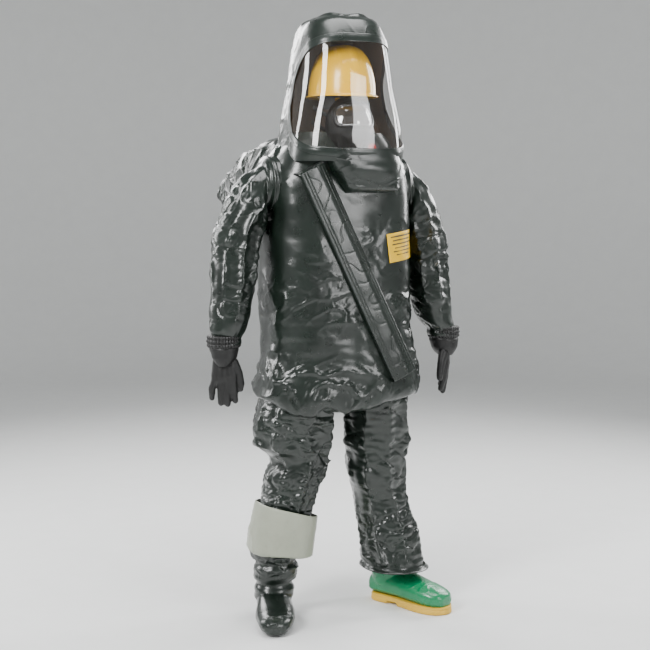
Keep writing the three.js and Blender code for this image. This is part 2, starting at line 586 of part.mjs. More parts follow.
// The right guard is turned up and shows its lining; the left one hangs over the boot.
const rightCuff = [
  [-FOOT_X + 4, -4, RIGHT_HEM_Z, 104, 104],
  [-FOOT_X + 10, -4, RIGHT_HEM_Z + 0.35 * CUFF_HEIGHT, 110, 112],
  [-FOOT_X + 24, -3, RIGHT_HEM_Z + CUFF_HEIGHT, 116, 117],
];
const rightShin = [
  [-FOOT_X + 6, -4, RIGHT_HEM_Z - 50, LEG_HEM_RADIUS + GAP, LEG_HEM_RADIUS + GAP],
  [-FOOT_X + 6, -4, RIGHT_HEM_Z + 40, LEG_HEM_RADIUS + GAP, LEG_HEM_RADIUS + GAP],
];
const cuffWall = tube(rightCuff, { steps: 2 })
  .subtract(tube(rightCuff, { steps: 2, inset: 3, pastHigh: 1, pastLow: -3 }));
const cuffFoot = tube(rightShin, { around: 16, steps: 2, square: 2.4 });
add("cuff_right", cuffWall.subtract(cuffFoot).subtract(legPlace(-1)), LINING);

const leftGuard = [
  [FOOT_X + 6, -26, LEFT_HEM_Z, 104, 122],
  [FOOT_X, -14, 0.5 * (LEFT_HEM_Z + GUARD_TOP_Z), 102, 112],
  [FOOT_X - 6, -4, GUARD_TOP_Z + 24, LEG_HEM_RADIUS + 6, LEG_HEM_RADIUS + 8],
];
const guardWall = hollow(leftGuard, 3, { steps: 3 });
const guardRing = tube(leftGuard, { steps: 3 })
  .intersect(above(GUARD_TOP_Z + 2)).subtract(legPlace(1));
add("guard_left", join(guardWall, guardRing).subtract(legPlace(1)), FABRIC);

// ---------------------------------------------------------------- work boot on the left foot
const bootLift = BOOT_SOLE_THICKNESS - 2;
const bootNeck = [
  [0, 6, ANKLE_Z - 68, 60, 66], [0, 4, ANKLE_Z - 3, 68, 72], [0, 2, ANKLE_Z + 40, 72, 76],
];
const bootFoot = footSections(bootLift, BOOT_WALL + 1);
const bootHollow = join(
  tube(bootNeck, { steps: 2, inset: BOOT_WALL, pastHigh: 5 }),
  tube(footSections(bootLift, 0.6), FOOT_STYLE),
);
const boot = join(tube(bootNeck, { steps: 2 }), tube(bootFoot, FOOT_STYLE))
  .subtract(bootHollow).intersect(above(BOOT_SOLE_THICKNESS));
add("boot_upper", placeFoot(boot, 1, -LEFT_FOOT_TURN), GREEN);
const soleShape = new THREE.Shape();
const halfSole = FOOT_WIDTH / 2 + 6;
soleShape.moveTo(-halfSole + 16, 62).lineTo(halfSole - 16, 62);
soleShape.bezierCurveTo(halfSole, 40, halfSole - 10, -60, halfSole, -130);
soleShape.bezierCurveTo(halfSole, -FOOT_LENGTH + 40, 24, -FOOT_LENGTH + 50, 0, -FOOT_LENGTH + 50);
soleShape.bezierCurveTo(-24, -FOOT_LENGTH + 50, -halfSole, -FOOT_LENGTH + 40, -halfSole, -130);
soleShape.bezierCurveTo(-halfSole + 10, -60, -halfSole, 40, -halfSole + 16, 62);
const soleBody = solidOf(new THREE.ExtrudeGeometry(soleShape, {
  depth: BOOT_SOLE_THICKNESS - GAP, bevelEnabled: false, curveSegments: 6,
}));
const arch = box([-FAR, -66, -1], [FAR, -12, 12]);
add("boot_sole", placeFoot(soleBody.subtract(arch), 1, -LEFT_FOOT_TURN), SOLE);

// ---------------------------------------------------------------- crotch
const CROTCH_HALF = HIP_X - (THIGH_RADIUS - 1) - GAP;
const crotch = sideways([
  [-146, HIP_Z], [-110, HIP_Z - 34], [0, CROTCH_Z + 8], [110, HIP_Z - 34], [146, HIP_Z],
], -CROTCH_HALF, CROTCH_HALF);
add("crotch_gusset", crotch, FABRIC);

// ---------------------------------------------------------------- helmet
const domeHeight = HELMET_HEIGHT - 10;
const dome = (inset) => ellipsoid(
  [0, HEAD_Y, HELMET_RIM_Z],
  [HELMET_WIDTH / 2 - inset, HELMET_LENGTH / 2 - inset, domeHeight - inset], 16, 8,
);
const brimSlab = box([-FAR, -FAR, HELMET_RIM_Z], [FAR, FAR, HELMET_RIM_Z + 5]);
const brim = ellipsoid([0, HEAD_Y - 8, HELMET_RIM_Z], [HELMET_WIDTH / 2 + 7, HELMET_LENGTH / 2 + 8, 60], 16, 4)
  .intersect(brimSlab);
const helmet = join(dome(0).intersect(above(HELMET_RIM_Z)), brim).subtract(dome(HELMET_WALL));
add("helmet_shell", helmet, YELLOW);

const cradleCross = join(
  box([-13, -FAR, 0], [13, FAR, 3 * FAR]),
  box([-FAR, HEAD_Y - 13, 0], [FAR, HEAD_Y + 13, 3 * FAR]),
);
const cradleBand = dome(HELMET_WALL + 12).subtract(dome(HELMET_WALL + 15));
const cradleTabs = dome(HELMET_WALL + GAP).subtract(dome(HELMET_WALL + 15)).intersect(
  box([-FAR, -FAR, HELMET_RIM_Z + 8], [FAR, FAR, HELMET_RIM_Z + 16]),
).intersect(cradleCross);
const bandZone = box([-FAR, -FAR, HELMET_RIM_Z + 4], [FAR, FAR, HELMET_RIM_Z + 30]);
const nape = box(
  [-26, HEAD_Y + HELMET_LENGTH / 2 - HELMET_WALL - 15, HELMET_RIM_Z - 34],
  [26, HEAD_Y + HELMET_LENGTH / 2 - HELMET_WALL - 12, HELMET_RIM_Z + 12],
);
const cradle = join(
  cradleBand.intersect(above(HELMET_RIM_Z + 4)).intersect(join(cradleCross, bandZone)),
  cradleTabs, nape,
);
add("helmet_cradle", cradle, PLASTIC);
add("helmet_knob", bar("y", [0, HEAD_Y + HELMET_LENGTH / 2 - HELMET_WALL - 12 + GAP, HELMET_RIM_Z - 17],
  13, 14, 16), PLASTIC);
const spacer = bar("z", [0, HEAD_Y, HELMET_RIM_Z + domeHeight - 12], HOOD_TOP_Z - WALL - GAP
  - (HELMET_RIM_Z + domeHeight - 12), 34, 20).subtract(dome(-GAP));
add("crown_spacer", spacer, WEBBING);

// ---------------------------------------------------------------- mask and air set
const MASK_Y = HEAD_Y - 46;
const MASK_Z = HELMET_RIM_Z - 3 - MASK_HEIGHT / 2;
const maskBody = (inset) => ellipsoid(
  [0, MASK_Y, MASK_Z], [MASK_WIDTH / 2 - inset, MASK_DEPTH - inset, MASK_HEIGHT / 2 - inset], 14, 8,
);
const maskShell = maskBody(0).subtract(maskBody(3)).intersect(ahead(MASK_Y + 6));
const lensPlace = (inset) => frontal(
  rounded(-62 + inset, 62 - inset, MASK_Z + 8 + inset, MASK_Z + 70 - inset, 24 - inset),
  -FAR, MASK_Y - 8,
);
const clips = [-1, 1].map((side) => {
  const ends = [side * (MASK_WIDTH / 2 - 4), side * (HELMET_WIDTH / 2 - 6)].sort((a, b) => a - b);
  const post = [side * (HELMET_WIDTH / 2 - 12), side * (HELMET_WIDTH / 2 - 6)].sort((a, b) => a - b);
  return join(
    box([ends[0], MASK_Y - 8, MASK_Z + 4], [ends[1], MASK_Y + 2, MASK_Z + 12]),
    box([post[0], MASK_Y - 8, MASK_Z + 4], [post[1], MASK_Y + 2, HELMET_RIM_Z - GAP]),
  );
});
const PORT = [46, MASK_Z - 62];
const portHole = bar("y", [PORT[0], -FAR, PORT[1]], FAR + MASK_Y - 6, 14);
add("mask_facepiece", join(maskShell, ...clips).subtract(lensPlace(0)).subtract(portHole), RUBBER);
add("mask_lens", maskShell.intersect(lensPlace(GAP)), CLEAR);

const VALVE_FRONT = MASK_Y - 84;
const demand = bar("y", [PORT[0], VALVE_FRONT, PORT[1]], MASK_Y - 20 - VALVE_FRONT, 25)
  .subtract(maskBody(-GAP))
  .subtract(bar("y", [PORT[0], VALVE_FRONT - 5, PORT[1]], 17, 14.5));
const elbowOut = bar("z", [PORT[0], VALVE_FRONT + 22, PORT[1] - 40], 26, 11, 16);
add("demand_valve", join(demand, elbowOut), PLASTIC);
add("purge_button", bar("y", [PORT[0], VALVE_FRONT - 4, PORT[1]], 12, 14), RED);

// The air set stands in the hump: a plate against the back, a cylinder, its valve and handwheel.
const PLATE_Y = BACK_Y + 12;
const CYL_Y = PLATE_Y + 14 + CYLINDER_RADIUS;
const CYL_FOOT = SHOULDER_Z - 275;
const cylinderOutline = [
  [0, 0], [17, 0], [17, 22], [CYLINDER_RADIUS - 20, 40], [CYLINDER_RADIUS, 74],
  [CYLINDER_RADIUS, CYLINDER_LENGTH - 118], [CYLINDER_RADIUS - 14, CYLINDER_LENGTH - 80],
  [0, CYLINDER_LENGTH - 62],
].map((p) => new THREE.Vector2(...p));
const cylinderBody = new THREE.LatheGeometry(cylinderOutline, 16);
cylinderBody.rotateX(Math.PI / 2);
const cylinderInside = new THREE.LatheGeometry([
  [0, -1], [9, -1], [9, 26], [CYLINDER_RADIUS - 26, 46], [CYLINDER_RADIUS - 6, 78],
  [CYLINDER_RADIUS - 6, CYLINDER_LENGTH - 122], [CYLINDER_RADIUS - 18, CYLINDER_LENGTH - 88],
  [0, CYLINDER_LENGTH - 70],
].map((p) => new THREE.Vector2(...p)), 16);
cylinderInside.rotateX(Math.PI / 2);
const cylinder = solidOf(cylinderBody).subtract(solidOf(cylinderInside))
  .translate([0, CYL_Y, CYL_FOOT]);
add("air_cylinder", cylinder, YELLOW);
const cylinderGrown = () => {
  const grown = cylinderOutline.map((p) => new THREE.Vector2(p.x > 0 ? p.x + GAP : 0, p.y));
  const geometry = new THREE.LatheGeometry(grown, 16);
  geometry.rotateX(Math.PI / 2);
  return geometry;
};
const plate = sideways(rounded(PLATE_Y, PLATE_Y + 6, SHOULDER_Z - 320, SHOULDER_Z + 90, 2), -95, 95);
const cradleBlocks = [SHOULDER_Z - 170, SHOULDER_Z - 20].map((z) =>
  box([-50, PLATE_Y + 5, z], [50, CYL_Y - 10, z + 26]));
const hangers = [-1, 1].map((side) => {
  const ends = [side * 60, side * (WINDOW_HALF + 14)].sort((a, b) => a - b);
  return box([ends[0], PLATE_Y - 11.5, SHOULDER_Z + 40], [ends[1], PLATE_Y + 1, SHOULDER_Z + 66]);
});
const plateSolid = join(plate, ...cradleBlocks, ...hangers)
  .subtract(solidOf(cylinderGrown()).translate([0, CYL_Y, CYL_FOOT]))
  .intersect(behind(BACK_Y + GAP));
add("back_plate", plateSolid, PLASTIC);
const cylValve = join(
  bar("z", [0, CYL_Y, CYL_FOOT - 34], 34 - GAP, 20, 20),
  bar("x", [-40, CYL_Y, CYL_FOOT - 18], 76, 11, 16),
);
add("cylinder_valve", cylValve, METAL);
add("handwheel", bar("x", [-40 - GAP - 22, CYL_Y, CYL_FOOT - 18], 22, 20, 12), PLASTIC);

// The hose runs from the demand valve over the shoulder and down to the cylinder valve.
const hosePath = new THREE.CatmullRomCurve3([
  [PORT[0], VALVE_FRONT + 22, PORT[1] - 40 - GAP],
  [PORT[0] + 12, VALVE_FRONT + 34, PORT[1] - 75],
  [110, -110, SHOULDER_Z],
  [165, 0, SHOULDER_Z - 60],
  [150, 120, SHOULDER_Z - 120],
  [128, PLATE_Y + 20, SHOULDER_Z - 190],
  [96, CYL_Y - 30, CYL_FOOT - 20],
  [36 + GAP, CYL_Y, CYL_FOOT - 18],
].map((p) => new THREE.Vector3(...p)));
const hose = new THREE.ExtrudeGeometry(new THREE.Shape().absarc(0, 0, 9, 0, 2 * Math.PI), {
  steps: 20, curveSegments: 4, bevelEnabled: false, extrudePath: hosePath,
});
add("air_hose", solidOf(hose).subtract(join(demand, elbowOut).translate([0, 0, -GAP]))
  .subtract(cylValve).subtract(cylValve.translate([GAP, 0, 0])), RUBBER);

// The origin is on the floor, under the middle of everything.
const bounds = new THREE.Box3().setFromObject(suit);
suit.position.set(-(bounds.min.x + bounds.max.x) / 2, -(bounds.min.y + bounds.max.y) / 2, -bounds.min.z);

export default suit;
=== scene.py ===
"""The suit's visible pieces: crumpled laminate, clear visor, gloves, boots, helmet and mask."""
import math

import bmesh
import bpy
import numpy as np
from mathutils import Euler, Matrix, Vector, noise


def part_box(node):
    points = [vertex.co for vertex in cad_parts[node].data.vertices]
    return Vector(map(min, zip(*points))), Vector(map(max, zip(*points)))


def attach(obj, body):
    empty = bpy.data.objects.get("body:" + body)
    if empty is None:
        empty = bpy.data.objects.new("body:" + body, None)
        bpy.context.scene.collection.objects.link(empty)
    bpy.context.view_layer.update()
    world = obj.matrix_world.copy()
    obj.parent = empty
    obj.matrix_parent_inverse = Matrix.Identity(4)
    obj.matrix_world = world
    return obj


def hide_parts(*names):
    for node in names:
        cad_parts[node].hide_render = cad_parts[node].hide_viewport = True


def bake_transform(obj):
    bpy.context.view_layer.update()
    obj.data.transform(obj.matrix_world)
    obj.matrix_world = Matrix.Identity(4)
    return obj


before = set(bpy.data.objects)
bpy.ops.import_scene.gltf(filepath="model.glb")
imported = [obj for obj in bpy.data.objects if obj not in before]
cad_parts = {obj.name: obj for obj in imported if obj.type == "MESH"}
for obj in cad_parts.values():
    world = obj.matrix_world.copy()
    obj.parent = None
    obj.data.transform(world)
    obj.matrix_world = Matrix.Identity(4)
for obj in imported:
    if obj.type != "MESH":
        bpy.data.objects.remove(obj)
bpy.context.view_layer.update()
scene = bpy.context.scene

# ------------------------------------------------------------------ places, from the frame
HUMP_REACH = 0.435  # how far behind the wearer's middle the hump ends
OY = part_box("pack_hump")[1][1] - HUMP_REACH  # where the wearer's middle is along the frame's Y


def at(x, y, z):
    """A point given in millimetres from the wearer's own middle, in the frame's metres."""
    return np.array([x / 1000, y / 1000 + OY, z / 1000])


# ------------------------------------------------------------------ grids of points
def bent(values, power):
    """The values raised to a power, each with its own sign: a circle's sine makes a superellipse's."""
    return np.sign(values) * np.abs(values) ** power


def arc_table(n, ratio):
    """Angles at equal steps of length round a superellipse of exponent n, from its front."""
    t = np.linspace(0, 2 * np.pi, 40001)
    x = bent(np.sin(t), 2 / n)
    y = -bent(np.cos(t), 2 / n) * ratio
    s = np.concatenate([[0], np.cumsum(np.hypot(np.diff(x), np.diff(y)))])
    s /= s[-1]
    return lambda u: np.interp(np.mod(u, 1.0), s, t)


def catmull(values, t):
    """Smooth interpolation through rows of values; t runs from 0 to len(values) - 1."""
    v = np.asarray(values, float)
    t = np.clip(t, 0, len(v) - 1 - 1e-9)
    i = t.astype(int)
    f = (t - i)[:, None]
    p1, p2 = v[i], v[np.minimum(i + 1, len(v) - 1)]
    p0 = np.where((i > 0)[:, None], v[np.maximum(i - 1, 0)], 2 * p1 - p2)
    p3 = np.where((i + 2 < len(v))[:, None], v[np.minimum(i + 2, len(v) - 1)], 2 * p2 - p1)
    return 0.5 * (2 * p1 + (p2 - p0) * f + (2 * p0 - 5 * p1 + 4 * p2 - p3) * f ** 2
                  + (3 * p1 - p0 - 3 * p2 + p3) * f ** 3)


def sweep(sections, rows, around, n=2.3):
    """A tube's points [row, round, xyz] through sections [x, y, z, halfwide, halfdeep, leanY, leanX],
    in mm. Rows lie at equal lengths along it, and round it the first point is at the front."""
    sec = np.array([list(s) + [0] * (7 - len(s)) for s in sections], float)
    fine = catmull(sec, np.linspace(0, len(sec) - 1, 600))
    run = np.concatenate([[0], np.cumsum(np.linalg.norm(np.diff(fine[:, :3], axis=0), axis=1))])
    t = np.interp(np.linspace(0, run[-1], rows), run, np.linspace(0, len(sec) - 1, 600))
    sec = catmull(sec, t)
    u = np.arange(around) / around
    grid = np.zeros((rows, around, 3))
    for r, (x, y, z, wide, deep, lean_y, lean_x) in enumerate(sec):
        a = arc_table(n, deep / wide)(u) if r % 8 == 0 else a
        local = np.stack([wide * bent(np.sin(a), 2 / n),
                          -deep * bent(np.cos(a), 2 / n),
                          np.zeros(around)], 1)
        turn = np.array(Euler((math.radians(lean_x), math.radians(lean_y), 0)).to_matrix())
        grid[r] = local @ turn.T + (x, y, z)
    return grid


def to_frame(grid):
    return np.asarray(grid) / 1000 + (0, OY, 0)


def finer(grid, axis, wrap):
    """The grid with smooth new points halfway between its own along one axis."""
    g = np.moveaxis(grid, axis, 0)
    n = len(g)
    i = np.arange(n if wrap else n - 1)
    take = (lambda k: g[np.mod(k, n)]) if wrap else (lambda k: g[np.clip(k, 0, n - 1)])
    mid = (-take(i - 1) + 9 * take(i) + 9 * take(i + 1) - take(i + 2)) / 16
    if not wrap and n > 2:
        mid[0] = (3 * g[0] + 6 * g[1] - g[2]) / 8
        mid[-1] = (3 * g[-1] + 6 * g[-2] - g[-3]) / 8
    out = np.zeros((len(g) + len(mid),) + g.shape[1:])
    out[0::2] = g
    out[1::2] = mid
    return np.moveaxis(out, 0, axis)


def smooth_grid(grid, times, wrap=True, strength=0.5):
    g = grid.copy()
    for _ in range(times):
        left, right = np.roll(g, 1, 1), np.roll(g, -1, 1)
        if not wrap:
            left[:, 0], right[:, -1] = g[:, 0], g[:, -1]
        up, down = g.copy(), g.copy()
        up[1:], down[:-1] = g[:-1], g[1:]
        mean = (left + right + up + down) / 4
        mean[0], mean[-1] = g[0], g[-1]
        g += (mean - g) * strength
    return g


def grid_normals(grid, wrap=True):
    if wrap:
        du = np.roll(grid, -1, 1) - np.roll(grid, 1, 1)
    else:
        du = np.gradient(grid, axis=1)
    dv = np.gradient(grid, axis=0)
    n = np.cross(du, dv)
    return n / np.maximum(np.linalg.norm(n, axis=2, keepdims=True), 1e-12)


def soft_noise(points, size, seed):
    flat = points.reshape(-1, 3)
    off = Vector((seed * 5.1, seed * 2.2, seed * 0.7))
    vals = np.array([noise.noise(Vector(p) / size + off) for p in flat])
    return vals.reshape(points.shape[:-1])


def creases(points, size, seed, width=0.15):
    """Thin crests along winding lines, from 0 to 1, with smooth ground between them."""
    return np.clip(1 - np.abs(soft_noise(points, size, seed)) / width, 0, 1) ** 1.4


# ------------------------------------------------------------------ meshes
def mesh_object(name, verts, faces, normals=None, material=None):
    me = bpy.data.meshes.new(name)
    me.from_pydata([tuple(map(float, v)) for v in verts], [], faces)
    me.update()
    ob = bpy.data.objects.new(name, me)
    scene.collection.objects.link(ob)
    for p in me.polygons:
        p.use_smooth = True
    if normals is not None:
        me.normals_split_custom_set_from_vertices([tuple(map(float, n)) for n in normals])
    if material:
        me.materials.append(material)
    return ob


def grid_faces(rows, cols, wrap=True, flip=False):
    r = np.arange(rows - 1)[:, None]
    c = np.arange(cols if wrap else cols - 1)[None, :]
    c2 = (c + 1) % cols
    quads = np.stack([r * cols + c, r * cols + c2, (r + 1) * cols + c2, (r + 1) * cols + c], 2)
    quads = quads.reshape(-1, 4)
    return (quads[:, ::-1] if flip else quads).tolist()


def grid_object(name, grid, material, wrap=True, keep_normals=None, flip=False):
    rows, cols = grid.shape[:2]
    normals = grid_normals(grid, wrap) if keep_normals is None else keep_normals
    if flip:
        normals = -normals if keep_normals is None else normals
    return mesh_object(name, grid.reshape(-1, 3), grid_faces(rows, cols, wrap, flip),
                       normals.reshape(-1, 3), material)


def outward_flip(grid, centre):
    """True if the grid's faces point at its middle and have to be turned round."""
    n = grid_normals(grid)
    return float(np.sum(n * (grid - centre))) < 0


def apply_modifiers(ob):
    dg = bpy.context.evaluated_depsgraph_get()
    me = bpy.data.meshes.new_from_object(ob.evaluated_get(dg))
    ob.modifiers.clear()
    old = ob.data
    ob.data = me
    bpy.data.meshes.remove(old)
    return ob


# ------------------------------------------------------------------ cloth
def crumple(grid, slack, body, pins, frames=26, bend=40.0, seed=1, rough=0.004, gravity=0.5, stiff=15,
            hold=0.55):
    """The grid, cut longer by slack and pushed back to its place, as cloth over a body inside."""
    rows, cols = grid.shape[:2]
    start = grid.copy()
    start += slack
    start += grid_normals(grid) * (soft_noise(grid, 0.06, seed) * rough)[..., None]
    ob = mesh_object("cloth", start.reshape(-1, 3), grid_faces(rows, cols))
    ob.shape_key_add(name="Basis")
    key = ob.shape_key_add(name="placed")
    key.data.foreach_set("co", grid.reshape(-1).astype(np.float32))
    key.value = 0.0
    key.keyframe_insert("value", frame=1)
    key.value = 1.0
    key.keyframe_insert("value", frame=int(frames * 0.75))
    group = ob.vertex_groups.new(name="pin")
    group.add(list(range(rows * cols)), hold, "REPLACE")
    for r, w in pins.items():
        rr = r if r >= 0 else rows + r
        group.add(list(range(rr * cols, (rr + 1) * cols)), w, "REPLACE")
    cloth = ob.modifiers.new("cloth", "CLOTH")
    s = cloth.settings
    s.quality = 6
    s.mass = 0.15
    s.air_damping = 2.0
    s.tension_stiffness = s.compression_stiffness = stiff
    s.shear_stiffness = stiff * 0.6
    s.bending_stiffness = bend
    s.tension_damping = s.compression_damping = 12
    s.shear_damping = 8
    s.bending_damping = 1.0
    s.vertex_group_mass = "pin"
    s.pin_stiffness = 9.0
    s.use_pressure = True
    s.uniform_pressure_force = 0.6
    s.effector_weights.gravity = gravity
    cloth.collision_settings.use_collision = True
    cloth.collision_settings.distance_min = 0.004
    cloth.collision_settings.collision_quality = 2
    cloth.point_cache.frame_start, cloth.point_cache.frame_end = 1, frames
    inner = mesh_object("inner", body.reshape(-1, 3), grid_faces(*body.shape[:2]))
    inner.modifiers.new("hit", "COLLISION")
    inner.collision.thickness_outer = 0.004
    inner.collision.cloth_friction = 8
    for f in range(1, frames + 1):
        scene.frame_set(f)
    dg = bpy.context.evaluated_depsgraph_get()
    done = ob.evaluated_get(dg).to_mesh()
    co = np.zeros(rows * cols * 3)
    done.vertices.foreach_get("co", co)
    out = co.reshape(rows, cols, 3)
    for o in (ob, inner):
        me = o.data
        bpy.data.objects.remove(o)
        bpy.data.meshes.remove(me)
    scene.frame_set(1)
    return smooth_grid(out, 3)


# ------------------------------------------------------------------ materials
def node(tree, kind, **values):
    n = tree.nodes.new(kind)
    for k, v in values.items():
        if k.startswith("in_"):
            n.inputs[k[3:].replace("_", " ")].default_value = v
        else:
            setattr(n, k, v)
    return n


def rgb(r, g, b):
    """A screen colour from 0 to 255 as linear light."""
    return tuple((c / 255 / 12.92 if c <= 10 else ((c / 255 + 0.055) / 1.055) ** 2.4) for c in (r, g,
        b)) + (1,)


def material(name, colour, rough=0.4, spread=0.25, metal=0.0, coat=0.0, coat_rough=0.1, grain=0.0,
             grain_size=0.002, wrinkle=0.0, wrinkle_size=0.03, weave=0.0, rough_spread=0.1, dirt=0.0,
             sheen=0.0, dark=None, specular=0.5):
    """Colour that varies a little, roughness that varies, and bump: grain, creases and a weave."""
    m = bpy.data.materials.new(name)
    m.use_nodes = True
    t = m.node_tree
    shader = t.nodes["Principled BSDF"]
    shader.inputs["Metallic"].default_value = metal
    shader.inputs["Coat Weight"].default_value = coat
    shader.inputs["Coat Roughness"].default_value = coat_rough
    shader.inputs["Sheen Weight"].default_value = sheen
    shader.inputs["Specular IOR Level"].default_value = specular
    place = node(t, "ShaderNodeTexCoord").outputs["Object"]
    cloudy = node(t, "ShaderNodeTexNoise", in_Scale=9.0, in_Detail=5.0, in_Roughness=0.6)
    t.links.new(place, cloudy.inputs["Vector"])
    ramp = node(t, "ShaderNodeMapRange")
    ramp.inputs["From Min"].default_value, ramp.inputs["From Max"].default_value = 0.3, 0.7
    t.links.new(cloudy.outputs["Fac"], ramp.inputs["Value"])
    mix = node(t, "ShaderNodeMix", data_type="RGBA")
    base = rgb(*colour)
    low = rgb(*dark) if dark else tuple(c * (1 - spread) for c in base[:3]) + (1,)
    high = tuple(min(1, c * (1 + spread * 0.6)) for c in base[:3]) + (1,)
    mix.inputs["A"].default_value, mix.inputs["B"].default_value = low, high
    t.links.new(ramp.outputs["Result"], mix.inputs["Factor"])
    out = mix.outputs["Result"]
    if dirt:
        fine = node(t, "ShaderNodeTexNoise", in_Scale=40.0, in_Detail=8.0, in_Roughness=0.7)
        t.links.new(place, fine.inputs["Vector"])
        cut = node(t, "ShaderNodeMapRange")
        cut.inputs["From Min"].default_value, cut.inputs["From Max"].default_value = 0.55, 0.75
        cut.inputs["To Max"].default_value = dirt
        t.links.new(fine.outputs["Fac"], cut.inputs["Value"])
        soil = node(t, "ShaderNodeMix", data_type="RGBA")
        t.links.new(cut.outputs["Result"], soil.inputs["Factor"])
        t.links.new(out, soil.inputs["A"])
        soil.inputs["B"].default_value = tuple(c * 0.45 for c in base[:3]) + (1,)
        out = soil.outputs["Result"]
    t.links.new(out, shader.inputs["Base Color"])
    gloss = node(t, "ShaderNodeTexNoise", in_Scale=26.0, in_Detail=4.0)
    t.links.new(place, gloss.inputs["Vector"])
    spread_map = node(t, "ShaderNodeMapRange")
    spread_map.inputs["To Min"].default_value = max(0.03, rough - rough_spread)
    spread_map.inputs["To Max"].default_value = rough + rough_spread
    t.links.new(gloss.outputs["Fac"], spread_map.inputs["Value"])
    t.links.new(spread_map.outputs["Result"], shader.inputs["Roughness"])
    last = None
    layers = []
    if wrinkle:
        folds = node(t, "ShaderNodeTexNoise", noise_type="RIDGED_MULTIFRACTAL", in_Detail=2.0,
                     in_Scale=1 / wrinkle_size, in_Roughness=0.42, in_Distortion=0.35)
        layers.append((folds.outputs["Fac"], wrinkle, wrinkle_size * 0.12, folds))
    if grain:
        speck = node(t, "ShaderNodeTexNoise", in_Scale=1 / grain_size, in_Detail=3.0)
        layers.append((speck.outputs["Fac"], grain, grain_size * 0.25, speck))
    if weave:
        bands = node(t, "ShaderNodeTexWave", in_Scale=1 / 0.0042, in_Distortion=0.6, in_Detail=1.0)
        bands.bands_direction = "Z"
        layers.append((bands.outputs["Fac"], weave, 0.0003, bands))
    for height, strength, distance, tex in layers:
        t.links.new(place, tex.inputs["Vector"])
        bump = node(t, "ShaderNodeBump", in_Strength=strength, in_Distance=distance)
        t.links.new(height, bump.inputs["Height"])
        if last is not None:
            t.links.new(last.outputs["Normal"], bump.inputs["Normal"])
        last = bump
    if last is not None:
        t.links.new(last.outputs["Normal"], shader.inputs["Normal"])
        if coat:
            t.links.new(last.outputs["Normal"], shader.inputs["Coat Normal"])
    return m


def clear(name, colour, rough, facing, edge):
    """A clear film: mostly see-through, tinted, glossy, and less clear where it is seen along its surface."""
    m = bpy.data.materials.new(name)
    m.use_nodes = True
    t = m.node_tree
    shader = t.nodes["Principled BSDF"]
    shader.inputs["Base Color"].default_value = rgb(*colour)
    shader.inputs["IOR"].default_value = 3.2
    shader.inputs["Specular IOR Level"].default_value = 0.9
    place = node(t, "ShaderNodeTexCoord").outputs["Object"]
    cloud = node(t, "ShaderNodeTexNoise", in_Scale=14.0, in_Detail=4.0)
    t.links.new(place, cloud.inputs["Vector"])
    tilt = node(t, "ShaderNodeLayerWeight", in_Blend=0.35)
    haze = node(t, "ShaderNodeMapRange")
    haze.inputs["To Min"].default_value, haze.inputs["To Max"].default_value = facing, edge
    t.links.new(tilt.outputs["Facing"], haze.inputs["Value"])
    t.links.new(haze.outputs["Result"], shader.inputs["Alpha"])
    scratch = node(t, "ShaderNodeMapRange")
    scratch.inputs["To Min"].default_value, scratch.inputs["To Max"].default_value = rough * 0.6, rough * 1.5
    t.links.new(cloud.outputs["Fac"], scratch.inputs["Value"])
    t.links.new(scratch.outputs["Result"], shader.inputs["Roughness"])
    wave = node(t, "ShaderNodeTexNoise", in_Scale=6.0, in_Detail=2.0)
    t.links.new(place, wave.inputs["Vector"])
    bump = node(t, "ShaderNodeBump", in_Strength=0.4, in_Distance=0.008)
    t.links.new(wave.outputs["Fac"], bump.inputs["Height"])
    t.links.new(bump.outputs["Normal"], shader.inputs["Normal"])
    return m


FABRIC = material("laminate", (16, 26, 20), rough=0.3, spread=0.35, coat=0.3, coat_rough=0.14,
                  wrinkle=0.22,
                  wrinkle_size=0.09, grain=0.1, grain_size=0.0016, weave=0.1, rough_spread=0.1)
LINING = material("lining", (152, 156, 140), rough=0.42, spread=0.1, coat=0.1, wrinkle=0.4,
                  wrinkle_size=0.06,
                  grain=0.12, grain_size=0.0015, weave=0.1, dirt=0.25)
INSIDE = material("inside", (96, 74, 52), rough=0.5, spread=0.25, wrinkle=0.4, wrinkle_size=0.07,
                  weave=0.1)
SEAL = material("seal_band", (23, 32, 27), rough=0.3, coat=0.3, wrinkle=0.25, wrinkle_size=0.03,
                grain=0.1)
CLEAR = clear("clear_film", (70, 58, 44), 0.05, 0.1, 0.45)
LENS = clear("mask_lens_clear", (40, 40, 42), 0.05, 0.3, 0.6)
RUBBER = material("rubber", (8, 8, 8), rough=0.5, spread=0.25, grain=0.35, grain_size=0.0018, wrinkle=0.2,
                  wrinkle_size=0.02, rough_spread=0.12)
MASK = material("mask_rubber", (12, 12, 13), rough=0.35, spread=0.2, coat=0.15, grain=0.2,
                grain_size=0.0012)
YELLOW = material("helmet_shell_plastic", (246, 190, 0), rough=0.25, spread=0.07, coat=0.4,
                  coat_rough=0.08,
                  grain=0.06, grain_size=0.002, dirt=0.06)
PATCH = material("label_patch", (228, 182, 8), rough=0.42, spread=0.08, weave=0.15, grain=0.1,
                 wrinkle=0.2)
INK = material("label_bars", (62, 54, 30), rough=0.5, spread=0.2, grain=0.1)
GREEN = material("boot_rubber", (0, 122, 76), rough=0.3, spread=0.2, coat=0.25, coat_rough=0.15,
                 grain=0.15,
                 grain_size=0.002, wrinkle=0.25, wrinkle_size=0.03, dirt=0.12)
SOLE = material("sole_rubber", (214, 172, 56), rough=0.5, spread=0.15, grain=0.3, grain_size=0.0016,
                dirt=0.35)
PLASTIC = material("black_plastic", (27, 28, 30), rough=0.38, spread=0.15, grain=0.25, grain_size=0.001)
RED = material("red_plastic", (186, 30, 24), rough=0.3, spread=0.1, grain=0.12, grain_size=0.001)
